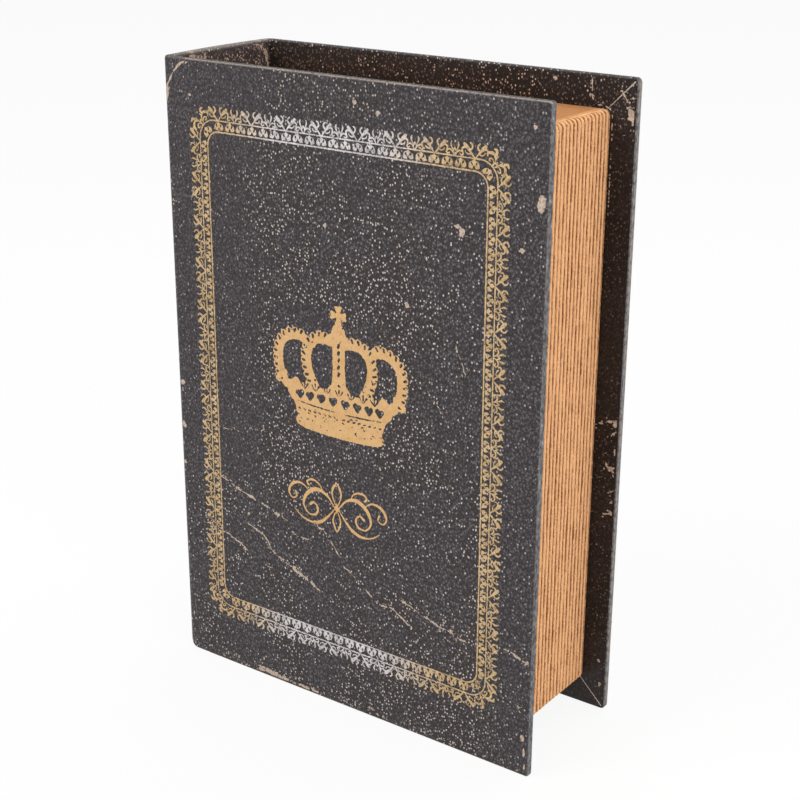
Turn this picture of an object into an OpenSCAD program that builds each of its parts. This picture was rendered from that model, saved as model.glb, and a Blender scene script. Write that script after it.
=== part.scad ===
// Book-shaped keepsake box, standing on the tail edges of its covers.
// X runs from the spine to the fore-edge, Y from the front cover to the back cover,
// Z from the tail up to the head. The origin is at the bottom centre.

/* [Overall] */
// Height of the covers, from tail to head
cover_h = 300; // [240:5:360]
// Width, from the outermost point of the spine to the fore-edge
cover_w = 205.5; // [160:0.5:260]
// Thickness over both covers
book_t = 74; // [50:1:100]

/* [Covers] */
// Thickness of the cover and spine boards
board_t = 2.5; // [2:0.1:4]
// Thickness of the printed leatherette
wrap_t = 0.6; // [0.4:0.1:1]
// How far the leatherette is turned in over the inner faces
turn_in = 20; // [18:1:30]
// Width of the slit where two turned-in flaps meet at a corner
mitre_slit = 0.3; // [0.2:0.1:0.6]
// Corner radius of the two covers, seen from the front
cover_corner_r = 1.5; // [0.5:0.25:3]

/* [Spine] */
// How far the spine bows outwards between its edges
spine_bow = 2.5; // [1:0.25:5]
// Outer radius of the bend from the spine to the front cover
front_bend_r = 3.5; // [3:0.25:6]
// How much larger the back bend's outer radius is than the covers are thick
back_bend_over = 0.1; // [0:0.05:2]
// Flat stretch of the flexible joint between its bend and the front board
joint_flat = 10.5; // [6:0.5:14]
// Thickness of the leatherette strip at the joints
strip_t = 1; // [0.8:0.1:1.4]
// Thickness of the cloth glued inside the front joint
joint_cloth_t = 0.6; // [0.4:0.1:1]
// How far the front bend's end draws up at the tail
tail_dip = 4; // [1:0.25:4.5]
// How far the front bend's end draws down at the head
head_dip = 1.5; // [1:0.25:4.5]
// Half the width over which the front bend's ends draw in, square to the corner's diagonal
dip_reach = 4.6; // [4.6:0.1:6]
// Radius of the spine's corner beside the front bend, at the tail
spine_tail_r = 3; // [0.5:0.25:5]
// Radius of the spine's corner beside the front bend, at the head
spine_head_r = 1; // [0.5:0.25:5]
// How much shorter the back bend is than the covers, at each end
back_bend_short = 0.8; // [0:0.1:2]
// Gap between the flexible joint and the front board's wrap
joint_gap = 0.2; // [0.1:0.05:0.4]

/* [Pages] */
// Overhang of the covers past the pages at the fore-edge
fore_square = 12.5; // [8:0.5:16]
// Overhang of the covers past the pages at the head
head_square = 14; // [8:0.5:16]
// Overhang of the covers past the pages at the tail
tail_square = 13.5; // [8:0.5:16]
// Thickness of the grooved page walls
wall_t = 8; // [7:0.5:12]
// Outer radius of the page block's head and tail corners
page_corner_r = 5; // [3:0.5:6.5]
// Distance from one page groove to the next
page_pitch = 3; // [2:0.1:4]
// Distance from the walls' foot on the back cover to the nearest page groove
groove_from_bed = 3.4; // [1.5:0.1:4]
// Width of a page groove at the surface
groove_w = 1.5; // [0.8:0.1:1.8]
// Depth of a page groove
groove_depth = 0.8; // [0.4:0.1:1.2]
// Gap between the closed front cover and the rim of the walls
lid_gap = 0.3; // [0.2:0.05:1]

/* [Tray] */
// Thickness of the tray's floor panel
floor_t = 2; // [1.5:0.25:4]
// Thickness of the paper linings inside the tray
lining_t = 0.5; // [0.3:0.1:1]

/* [Closure] */
// Diameter of the round magnets
magnet_d = 5; // [4:0.5:6]
// Thickness of the round magnets
magnet_t = 2; // [1.5:0.25:3]
// Clearance round a magnet or steel disc in its pocket
pocket_gap = 0.05; // [0.03:0.01:0.15]
// Distance from the head or tail of the cover to each magnet
magnet_from_end = 75; // [45:5:110]
// Diameter of the steel discs in the front board
disc_d = 10; // [8:0.5:12]
// Thickness of the steel discs
disc_t = 1; // [0.6:0.1:1.5]

/* [Hidden] */
$fn = 96;
// Reach of a cutting shape past what it cuts
past = 5;
// Flat facets in each rounded corner of the spine
corner_facets = 8;
// Smallest radius that an inner corner keeps
least_r = 0.2;

// Thickness of a covered board: leatherette, board, leatherette or lining
cover_t = wrap_t + board_t + wrap_t;
// Outer radius of the bend from the spine to the back cover
back_bend_r = cover_t + back_bend_over;

// Outer faces of the closed box
x_spine = -cover_w / 2;
x_fore = cover_w / 2;
y_front = -book_t / 2;
y_back = book_t / 2;

// The spine between its two bends
x_spine_edge = x_spine + spine_bow;
y_spine_front = y_front + front_bend_r;
y_spine_back = y_back - back_bend_r;
y_spine_mid = (y_spine_front + y_spine_back) / 2;
half_spine = (y_spine_back - y_spine_front) / 2;
bow_r = (half_spine * half_spine + spine_bow * spine_bow) / (2 * spine_bow);
x_spine_inner = x_spine_edge + cover_t;

// The covers' edges along the joints
x_front_hinge = x_spine_edge + front_bend_r + joint_flat;
x_back_hinge = x_spine_edge + back_bend_r;

// The page block
x_pages = x_fore - fore_square;
z_tail = tail_square;
z_head = cover_h - head_square;
y_rim = y_front + cover_t + lid_gap;
y_bed = y_back - cover_t;
wall_depth = y_bed - y_rim;
x_inside_fore = x_pages - wall_t;
x_inside_spine = x_spine_inner + wall_t;
z_inside_tail = z_tail + wall_t;
z_inside_head = z_head - wall_t;

// As many grooves as fit the walls' depth, counted from the back cover; the first is
// the one nearest the rim
groove_count = floor((wall_depth - groove_from_bed - groove_w) / page_pitch) + 1;
groove_first = wall_depth - groove_from_bed - (groove_count - 1) * page_pitch;

// Magnets stand in the rim of the fore-edge wall, behind the grooves
x_magnets = (x_inside_fore + x_pages - groove_depth) / 2;
z_magnets = [magnet_from_end, cover_h - magnet_from_end];

leatherette = [0.24, 0.23, 0.24];
leatherette_inside = [0.14, 0.11, 0.10];
greyboard = [0.55, 0.51, 0.46];
page_brown = [0.80, 0.58, 0.36];
lining_black = [0.09, 0.09, 0.10];
steel = [0.72, 0.73, 0.75];

// A covered board's outer block, with rounded corners, between two heights in Y
module cover_block(x_from, y_from, y_to, inset) {
    r = max(cover_corner_r - inset, least_r);
    x_to = x_fore - inset;
    translate([0, y_to, 0])
        rotate([90, 0, 0])
            linear_extrude(y_to - y_from)
                union() {
                    translate([x_from, inset])
                        square([x_to - r - x_from, cover_h - 2 * inset]);
                    translate([x_from, inset + r])
                        square([x_to - x_from, cover_h - 2 * inset - 2 * r]);
                    for (z = [inset + r, cover_h - inset - r])
                        translate([x_to - r, z])
                            circle(r);
                }
}

// The slits where the turned-in flaps meet at the fore-edge corners
module mitre_slits(y_from, y_to) {
    slit_l = turn_in * sqrt(2);
    for (end = [0, 1])
        translate([x_fore - wrap_t, y_from, end == 0 ? wrap_t : cover_h - wrap_t])
            rotate([0, end == 0 ? 45 : -45, 0])
                translate([-slit_l, 0, -mitre_slit / 2])
                    cube([slit_l, y_to - y_from, mitre_slit]);
}

// Leatherette round a cover board: outer face, three edges and the flaps turned in.
// The board lies between y_board and y_board + board_t, and its inner face looks to
// -Y for the back cover and to +Y for the front cover.
module cover_wrap(x_from, y_outer, y_board, y_inner) {
    low = min(y_outer, y_inner);
    high = max(y_outer, y_inner);
    y_mid_board = y_board + board_t / 2;
    cut_from = y_inner > y_outer ? y_mid_board : y_inner - past;
    cut_to = y_inner > y_outer ? y_inner + past : y_mid_board;
    difference() {
        cover_block(x_from, low, high, 0);
        cover_block(x_from - past, y_board, y_board + board_t, wrap_t);
        translate([x_from - past, cut_from, turn_in])
            cube([x_fore - turn_in - x_from + past, cut_to - cut_from, cover_h - 2 * turn_in]);
        mitre_slits(cut_from, cut_to);
    }
}

module front_board() {
    y_inner = y_front + wrap_t + board_t;
    color(greyboard)
        difference() {
            cover_block(x_front_hinge, y_front + wrap_t, y_inner, wrap_t);
            for (z = z_magnets)
                translate([x_magnets, y_inner, z])
                    rotate([90, 0, 0])
                        cylinder(h = disc_t, d = disc_d + 2 * pocket_gap);
        }
}

module front_wrap() {
    color(leatherette)
        cover_wrap(x_front_hinge, y_front, y_front + wrap_t, y_front + cover_t);
}

module front_pastedown() {
    color(lining_black)
        translate([x_front_hinge, y_front + cover_t - wrap_t, turn_in])
            cube([x_fore - turn_in - x_front_hinge, wrap_t, cover_h - 2 * turn_in]);
}

module closure_discs() {
    color(steel)
        for (z = z_magnets)
            translate([x_magnets, y_front + wrap_t + board_t, z])
                rotate([90, 0, 0])
                    cylinder(h = disc_t, d = disc_d);
}

// Radius of the round cut that draws a bend's end in by the given dip
function dip_radius(dip) = (dip_reach * dip_reach + dip * dip) / (2 * dip);

// The round cut across the front corner, along its diagonal, with its lowest or
// highest point at the given distance from the tail
module dip_cut(dip, z) {
    translate([x_spine_edge, y_front, z])
        rotate([0, 0, -45])
            rotate([-90, 0, 0])
                translate([0, 0, -past])
                    cylinder(h = front_bend_r + joint_flat + 2 * past, r = dip_radius(dip));
}

// A sheet that bends from the spine's front edge round to the front cover
module front_bend_sheet(depth, thickness) {
    outer_r = front_bend_r - depth;
    x_end = x_front_hinge - joint_gap;
    difference() {
        linear_extrude(cover_h)
            union() {
                intersection() {
                    translate([x_spine_edge + front_bend_r, y_spine_front])
                        difference() {
                            circle(outer_r);
                            circle(outer_r - thickness);
                        }
                    translate([x_spine_edge, y_front])
                        square(front_bend_r);
                }
                translate([x_spine_edge + front_bend_r, y_front + depth])
                    square([x_end - x_spine_edge - front_bend_r, thickness]);
            }
        dip_cut(tail_dip, tail_dip - dip_radius(tail_dip));
        dip_cut(head_dip, cover_h - head_dip + dip_radius(head_dip));
    }
}

module front_joint() {
    color(leatherette)
        front_bend_sheet(0, strip_t);
}

module joint_cloth() {
    color(lining_black)
        front_bend_sheet(strip_t, joint_cloth_t);
}

// The spine's bowed outline between its two bends, flat on its inner side
module spine_outline(inset, x_inner) {
    intersection() {
        translate([x_spine + bow_r, y_spine_mid])
            circle(bow_r - inset, $fn = 360);
        translate([x_spine, y_spine_front])
            square([x_inner - x_spine, 2 * half_spine]);
    }
}

// A quarter arc in flat facets, anticlockwise from the given angle
function corner_arc(centre, r, angle) = [
    for (k = [0 : corner_facets])
        let (a = angle + 90 * k / corner_facets)
            centre + r * [cos(a), sin(a)]
];

// The spine from tail to head, with its two corners beside the front bend rounded
module spine_block(inset, x_inner) {
    r_tail = max(spine_tail_r - inset, least_r);
    r_head = max(spine_head_r - inset, least_r);
    z_low = inset;
    z_high = cover_h - inset;
    intersection() {
        linear_extrude(cover_h)
            spine_outline(inset, x_inner);
        translate([x_spine - past, 0, 0])
            rotate([90, 0, 90])
                linear_extrude(spine_bow + cover_t + 2 * past)
                    polygon(concat(
                        corner_arc([y_spine_front + r_tail, z_low + r_tail], r_tail, 180),
                        [[y_spine_back + past, z_low], [y_spine_back + past, z_high]],
                        corner_arc([y_spine_front + r_head, z_high - r_head], r_head, 90)
                    ));
    }
}

module spine_board() {
    color(greyboard)
        spine_block(wrap_t, x_spine_inner - wrap_t);
}

module spine_wrap() {
    color(leatherette)
        difference() {
            spine_block(0, x_spine_inner);
            spine_block(wrap_t, x_spine_inner - wrap_t);
            translate([x_spine_inner - cover_t / 2, y_spine_front - past, turn_in])
                cube([cover_t / 2 + past, 2 * half_spine + 2 * past, cover_h - 2 * turn_in]);
        }
}

module spine_lining() {
    color(lining_black)
        translate([x_spine_inner - wrap_t, y_spine_front, turn_in])
            cube([wrap_t, 2 * half_spine, cover_h - 2 * turn_in]);
}

module back_joint() {
    color(leatherette)
        translate([0, 0, back_bend_short])
            linear_extrude(cover_h - 2 * back_bend_short)
                intersection() {
                    translate([x_back_hinge, y_spine_back])
                        difference() {
                            circle(back_bend_r);
                            circle(back_bend_r - strip_t);
                        }
                    translate([x_spine_edge, y_spine_back])
                        square(back_bend_r);
                }
}

module back_board() {
    color(greyboard)
        cover_block(x_back_hinge, y_back - wrap_t - board_t, y_back - wrap_t, wrap_t);
}

module back_wrap() {
    color(leatherette_inside)
        cover_wrap(x_back_hinge, y_back, y_back - wrap_t - board_t, y_back - cover_t);
}

module back_lining() {
    color(lining_black)
        translate([x_back_hinge, y_back - cover_t, turn_in])
            cube([x_fore - turn_in - x_back_hinge, wrap_t, cover_h - 2 * turn_in]);
}

// Cross-section of a page wall: X is its thickness, counted inwards from -wall_t to 0,
// and Y its depth from the rim. V grooves run along the outer face like page edges.
module page_section(inner) {
    grooves = [
        for (k = [0 : groove_count - 1])
            let (v = groove_first + k * page_pitch)
                for (p = [[0, v - groove_w / 2], [-groove_depth, v], [0, v + groove_w / 2]])
                    p
    ];
    polygon(concat([[-inner, 0], [0, 0]], grooves, [[0, wall_depth], [-inner, wall_depth]]));
}

// A straight page wall along +Z, its outer face at X = 0
module page_slab(length) {
    linear_extrude(length)
        page_section(wall_t);
}

// A quarter-round corner of the page block about the Y axis, in the +X +Z quarter
module page_corner() {
    rotate([90, 0, 0])
        rotate_extrude(angle = 90)
            mirror([0, 1])
                translate([page_corner_r, 0])
                    page_section(page_corner_r);
}

// The zone of one end wall or of the fore-edge wall, parted by the mitres
module fore_edge_zone() {
    reach = wall_t + past;
    translate([0, y_bed + past, 0])
        rotate([90, 0, 0])
            linear_extrude(wall_depth + 2 * past)
                polygon([
                    [x_inside_fore, z_inside_tail],
                    [x_inside_fore + reach, z_inside_tail - reach],
                    [x_inside_fore + reach, z_inside_head + reach],
                    [x_inside_fore, z_inside_head]
                ]);
}

// Height of the plane where a head or tail corner of the page block starts
function z_corner(end) = end > 0 ? z_head - page_corner_r : z_tail + page_corner_r;

module page_frame_corner(end) {
    translate([x_pages - page_corner_r, y_rim, z_corner(end)])
        mirror([0, 0, end > 0 ? 0 : 1])
            page_corner();
}

module fore_edge_wall() {
    color(page_brown)
        difference() {
            intersection() {
                fore_edge_zone();
                for (end = [-1, 1]) {
                    page_frame_corner(end);
                    translate([x_pages, y_rim, z_corner(end)])
                        mirror([0, 0, end > 0 ? 1 : 0])
                            page_slab((z_head - z_tail) / 2);
                }
            }
            for (z = z_magnets)
                translate([x_magnets, y_rim + magnet_t, z])
                    rotate([90, 0, 0])
                        cylinder(h = magnet_t + past, d = magnet_d + 2 * pocket_gap);
        }
}

// A head or tail wall: end is 1 at the head and -1 at the tail
module end_wall(end) {
    z_outer = end > 0 ? z_head : z_tail;
    length = x_pages - page_corner_r - x_spine_inner;
    difference() {
        union() {
            translate([x_pages - page_corner_r, y_rim, z_outer])
                mirror([0, 0, end > 0 ? 0 : 1])
                    rotate([0, -90, 0])
                        page_slab(length);
            page_frame_corner(end);
        }
        fore_edge_zone();
    }
}

module head_wall() {
    color(page_brown)
        end_wall(1);
}

module tail_wall() {
    color(page_brown)
        end_wall(-1);
}

module spine_wall() {
    color(page_brown)
        translate([x_spine_inner, y_rim, z_inside_tail])
            cube([wall_t, wall_depth, z_inside_head - z_inside_tail]);
}

module tray_floor() {
    color(greyboard)
        translate([x_inside_spine, y_bed - floor_t, z_inside_tail])
            cube([x_inside_fore - x_inside_spine, floor_t, z_inside_head - z_inside_tail]);
}

module floor_lining() {
    color(lining_black)
        translate([x_inside_spine, y_bed - floor_t - lining_t, z_inside_tail])
            cube([x_inside_fore - x_inside_spine, lining_t, z_inside_head - z_inside_tail]);
}

module wall_lining() {
    depth = wall_depth - floor_t - lining_t;
    color(lining_black)
        difference() {
            translate([x_inside_spine, y_rim, z_inside_tail])
                cube([x_inside_fore - x_inside_spine, depth, z_inside_head - z_inside_tail]);
            translate([x_inside_spine + lining_t, y_rim - past, z_inside_tail + lining_t])
                cube([
                    x_inside_fore - x_inside_spine - 2 * lining_t,
                    depth + 2 * past,
                    z_inside_head - z_inside_tail - 2 * lining_t
                ]);
        }
}

module closure_magnets() {
    color(steel)
        for (z = z_magnets)
            translate([x_magnets, y_rim + magnet_t, z])
                rotate([90, 0, 0])
                    cylinder(h = magnet_t, d = magnet_d);
}

front_board();
front_wrap();
front_pastedown();
closure_discs();
front_joint();
joint_cloth();
spine_board();
spine_wrap();
spine_lining();
back_joint();
back_board();
back_wrap();
back_lining();
head_wall();
tail_wall();
fore_edge_wall();
spine_wall();
tray_floor();
floor_lining();
wall_lining();
closure_magnets();
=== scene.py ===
"""A keepsake box in the form of an old leatherette-bound book with a gilt border and crown."""
import functools
import math
from types import SimpleNamespace

import bmesh
import bpy
import numpy as np
from mathutils import Matrix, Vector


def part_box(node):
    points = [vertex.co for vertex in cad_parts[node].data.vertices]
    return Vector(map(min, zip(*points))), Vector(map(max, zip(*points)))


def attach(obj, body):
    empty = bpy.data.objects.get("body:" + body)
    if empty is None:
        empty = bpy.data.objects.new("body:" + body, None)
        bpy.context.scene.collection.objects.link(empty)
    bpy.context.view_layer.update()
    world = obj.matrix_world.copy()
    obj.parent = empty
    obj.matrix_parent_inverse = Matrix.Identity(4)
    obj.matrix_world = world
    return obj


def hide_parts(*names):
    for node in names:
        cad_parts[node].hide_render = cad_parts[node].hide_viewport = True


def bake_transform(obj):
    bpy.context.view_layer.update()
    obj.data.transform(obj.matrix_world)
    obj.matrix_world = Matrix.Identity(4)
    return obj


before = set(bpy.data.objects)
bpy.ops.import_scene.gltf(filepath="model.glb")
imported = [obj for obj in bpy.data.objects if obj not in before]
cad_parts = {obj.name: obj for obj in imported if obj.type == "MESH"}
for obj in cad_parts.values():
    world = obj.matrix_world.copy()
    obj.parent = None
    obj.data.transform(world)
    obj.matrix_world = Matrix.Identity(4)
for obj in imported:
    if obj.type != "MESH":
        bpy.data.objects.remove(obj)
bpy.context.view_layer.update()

bl_info = {
    "name": "Book box",
    "version": (1, 0, 0),
    "blender": (4, 5, 0),
    "location": "View3D > Sidebar > Book box",
    "description": "Covers, page walls, linings and gilt prints of a book-shaped box",
    "category": "Object",
}

MM = 0.001
FRONT, CASE = "front_cover", "case"


def edges_mm(node):
    """A CAD node's lowest and highest corners, in millimetres."""
    low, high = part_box(node)
    return np.array(low) / MM, np.array(high) / MM


# Places that the frame gives, in millimetres
FRONT_LOW, FRONT_HIGH = edges_mm("front_wrap")
BACK_LOW, BACK_HIGH = edges_mm("back_wrap")
SPINE_LOW, SPINE_HIGH = edges_mm("spine_wrap")
BEND_LOW = edges_mm("front_joint")[0]
PAGES_LOW, PAGES_HIGH = edges_mm("fore_edge_wall")
HEAD_HIGH = edges_mm("head_wall")[1]
TAIL_LOW = edges_mm("tail_wall")[0]
RIM_Y = PAGES_LOW[1]
BED_Y = PAGES_HIGH[1]
COVER_T = FRONT_HIGH[1] - FRONT_LOW[1]
HEIGHT = FRONT_HIGH[2]
WRAP_T = 0.6
TURN_IN = 20.0
STRIP_T = 1.0
BEND_R = 3.5
BACK_STATIONS = 9      # stations of the bend to the back cover
BACK_R = BACK_HIGH[1] - SPINE_HIGH[1]
SPINE_LEAN = 8.57      # degrees that the bowed spine leans where it meets its bends
PAGE_CORNER_R = 2.6
PAGE_BOARD_T = 8.0     # thickness of the page walls
BEND_MIDDLE = 6        # the bend's middle station, counted from its first
SPINE_ARRIS = 1.3      # radius of the spine's head and tail edges
FOLD_END_R = 4.6, 1.3  # radii by which the front fold's tail and head ends draw in
FOLD_NOTCH = 0.1       # how much deeper their middle is
CLOTH_T = 0.15
SLIT = 0.1             # half the width of the slits in the covers' mitres
SLIT_DEPTH = 0.4
FILM_SUNK = 0.03       # how far a film reaches into the face under it
MAGNETS_PROUD = 0.06   # how far the magnets stand out of the page walls' rim
FIRST_RIDGE = 1.9      # from the back cover to the middle of the first page ridge
MERGE = 2e-6           # points nearer than this, in metres, become one
FAR = 1.0              # how far round a painted shape its distance is kept
STRIP_GAP = 0.01       # half the gap between a film's strips


def linear(text):
    """An sRGB hex value as a linear colour."""
    parts = [int(text[i:i + 2], 16) / 255 for i in (1, 3, 5)]
    return [c / 12.92 if c <= 0.04045 else ((c + 0.055) / 1.055) ** 2.4 for c in parts] + [1]


# ---------------------------------------------------------------- settings
def length(name, description, size, low, high):
    """A length setting from millimetres."""
    return bpy.props.FloatProperty(name=name, description=description, default=size * MM,
                                   min=low * MM, max=high * MM, unit="LENGTH")


class BookBoxSizes(bpy.types.PropertyGroup):
    arris: length("Arris", "Radius of the covers' rounded edges", 1.0, 0.3, 1.6)
    corner: length("Front corner", "Radius of the front cover's fore-edge corners", 1.3, 0.5, 4)
    back_corner: length("Back corner", "Radius of the back cover's fore-edge corners",
                        2.3, 0.5, 4)
    ridge_pitch: length("Page ridges", "Distance from one page ridge to the next", 3.0, 2, 4)
    ridge_height: length("Ridge height", "How far the page ridges stand out of their grooves",
                         0.75, 0.2, 1.0)
    film: length("Print film", "Thickness of the foil and printed film on the cover",
                 0.05, 0.02, 0.15)


def colour(name, description, default):
    """A colour setting from an sRGB hex value."""
    return bpy.props.FloatVectorProperty(name=name, description=description, subtype="COLOR",
                                         size=4, min=0, max=1, default=linear(default))


class BookBoxColours(bpy.types.PropertyGroup):
    charcoal: colour("Leatherette", "Ground colour of the outer leatherette", "#3D393D")
    charcoal_warm: colour("Warm leatherette", "Browner clouds of the leatherette", "#3A3230")
    charcoal_low: colour("Leatherette hollows", "Hollows between the pebbles", "#1F1A1B")
    charcoal_high: colour("Leatherette tops", "Pebbles that are not rubbed through", "#7E7576")
    # The turned-in ground is darker and browner than the outer one: partly its own tone, partly
    # painted shade
    brown_black_and_shade: colour("Inner leatherette", "Ground of the turned-in leatherette", "#282120")
    brown_low: colour("Inner hollows", "Hollows of the turned-in leatherette", "#181312")
    brown_high: colour("Inner tops", "Unrubbed pebbles of the turned-in leatherette", "#4A403C")
    fleck: colour("Warm flecks", "Rubbed pebbles, where the paper shows", "#D3C4BA")
    fleck_brown: colour("Brown flecks", "Rubbed pebbles of the turned-in leatherette", "#B28C70")
    fleck_pale: colour("Pale flecks", "Rubbed pebbles, where the wax is left", "#D6D0CE")
    # Pale line on the head and tail arrises: partly rubbed wear, partly painted highlight
    arris_wear_and_highlight: colour("Worn arris", "Head and tail edges rubbed pale", "#A4978C")
    # The covers' fore-edges get a cool pale band: painted sheen, mottled dark with edge_low
    edge_painted_sheen: colour("Fore-edge sheen", "Cool bloom of the covers' fore-edges", "#77797D")
    edge_low: colour("Fore-edge hollows", "Dark mottle of the covers' fore-edges", "#37373A")
    tan: colour("Worn paper", "Paper showing where the print is rubbed through", "#C9B5A2")
    tan_low: colour("Soiled paper", "Darker parts of the rubbed-through paper", "#98867A")
    slit: colour("Mitre slit", "Cut paper edge in the mitres", "#E0D8CE")
    slit_low: colour("Mitre slit, soiled", "Darker parts of the cut paper edge", "#A89C90")
    # From the ridge tops down to the grooves' bottom the colour darkens: painted shade in the
    # grooves
    ridge: colour("Page ridges", "Top of the page ridges", "#F3B985")
    groove_brown_and_shade: colour("Page grooves", "Bottom of the page grooves", "#6E3A20")
    # Head and tail faces get a darker tone than the ridge tops: painted shade on those faces
    pressed: colour("Pressed pages", "Smooth head and tail of the page block", "#C78D5B")
    gold: colour("Gold ink", "Ink of the border's sides", "#CBAD82")
    gold_low: colour("Thin gold ink", "Where the border's gold is thin", "#94784A")
    silver: colour("Silver ink", "Ink in the middle of head and tail", "#D6D0CF")
    silver_low: colour("Thin silver ink", "Where the border's silver is thin", "#98928F")
    amber: colour("Crown gold", "Flat gold of the crown", "#D0A875")
    amber_low: colour("Crown gold, thin", "Thinner parts of the crown's ink", "#C4975F")
    lining: colour("Lining", "Paper that lines the tray", "#1E1C1D")
    lining_high: colour("Lining fibres", "Paler fibres of the lining paper", "#2C292B")
    cloth: colour("Joint cloth", "Threads of the joint cloth", "#2A2728")
    cloth_low: colour("Joint cloth gaps", "Gaps between the threads", "#131112")
    board: colour("Greyboard", "Raw board", "#8D857A")
    board_low: colour("Greyboard fibres", "Darker fibres of the raw board", "#6F685F")
    raw_page: colour("Plain fibreboard", "Unprinted fibreboard of the tray", "#C79158")
    raw_page_low: colour("Plain fibreboard, dark", "Darker fibres of the tray's board", "#A97844")
    floor: colour("Floor", "Studio floor", "#F4F4F4")


def size_mm(key):
    return getattr(bpy.context.scene.book_box_sizes, key) / MM


def colours():
    return bpy.context.scene.book_box_colours


# ---------------------------------------------------------------- meshes
def linked(name, data):
    """A new object in the scene."""
    made = bpy.data.objects.new(name, data)
    bpy.context.scene.collection.objects.link(made)
    return made


def piece(name, points, faces, materials, face_slots=None, marks=None, smooth=40):
    """A mesh object from points in millimetres. Marks are values on its points. Its rest place
    is kept there too, so a pattern stays where it is when the piece bends."""
    marks = marks or {}
    build = bmesh.new()
    layers = [build.verts.layers.float.new(k) for k in marks]
    made = [build.verts.new(p) for p in np.asarray(points, float) * MM]
    for layer, values in zip(layers, marks.values()):
        for v, value in zip(made, values):
            v[layer] = float(value)
    for face, slot in zip(faces, face_slots or [0] * len(faces)):
        build.faces.new([made[c] for c in face]).material_index = slot
    bmesh.ops.remove_doubles(build, verts=build.verts, dist=MERGE)
    bmesh.ops.dissolve_degenerate(build, edges=build.edges, dist=MERGE / 2)
    bmesh.ops.recalc_face_normals(build, faces=build.faces)
    mesh = bpy.data.meshes.new(name)
    build.to_mesh(mesh)
    build.free()
    mesh.polygons.foreach_set("use_smooth", [True] * len(mesh.polygons))
    mesh.set_sharp_from_angle(angle=math.radians(smooth))
    co = np.zeros(len(mesh.vertices) * 3, np.float32)
    mesh.vertices.foreach_get("co", co)
    kept = mesh.attributes.new("rest_place", "FLOAT_VECTOR", "POINT")
    kept.data.foreach_set("vector", co / np.float32(MM))
    for m in materials:
        mesh.materials.append(m)
    return linked(name, mesh)


def loft(rings, closed=True):
    """Points and faces of rings of equal length, joined in order, with a cap at each end."""
    rings = np.asarray(rings, float)
    count, per = rings.shape[:2]
    faces = [(i * per + j, i * per + (j + 1) % per, (i + 1) * per + (j + 1) % per,
              (i + 1) * per + j) for i in range(count - 1) for j in range(per - 1 + closed)]
    faces += [tuple(range(per)), tuple(range((count - 1) * per, count * per))[::-1]]
    return rings.reshape(-1, 3), faces


def arc(centre, r, start, end, count):
    """Points on an arc whose angles are given in degrees."""
    return [(centre[0] + r * math.cos(a), centre[1] + r * math.sin(a))
            for a in np.radians(np.linspace(start, end, count))]


def follow_line(points):
    """A line's points, their forward and right-hand directions, and the distance gone."""
    points = np.asarray(points, float)
    along = np.gradient(points, axis=0)
    along /= np.linalg.norm(along, axis=1)[:, None]
    gone = np.concatenate([[0], np.cumsum(np.linalg.norm(np.diff(points, axis=0), axis=1))])
    return points, along, np.stack([along[:, 1], -along[:, 0]], 1), gone


def eased(t):
    """A share from 0 to 1 that starts and ends gently."""
    return t * t * (3 - 2 * t)


def wander(count, step, seed, reach):
    """A smooth random walk about zero, one value for each station."""
    rng = np.random.default_rng(seed)
    knots = max(int(count / reach) + 4, 5)
    values = rng.normal(0, 1, knots)
    at = np.linspace(0, knots - 1.001, count)
    i = at.astype(int)
    t = eased(at - i)
    return (values[i] * (1 - t) + values[np.minimum(i + 1, knots - 1)] * t) * step


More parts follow.
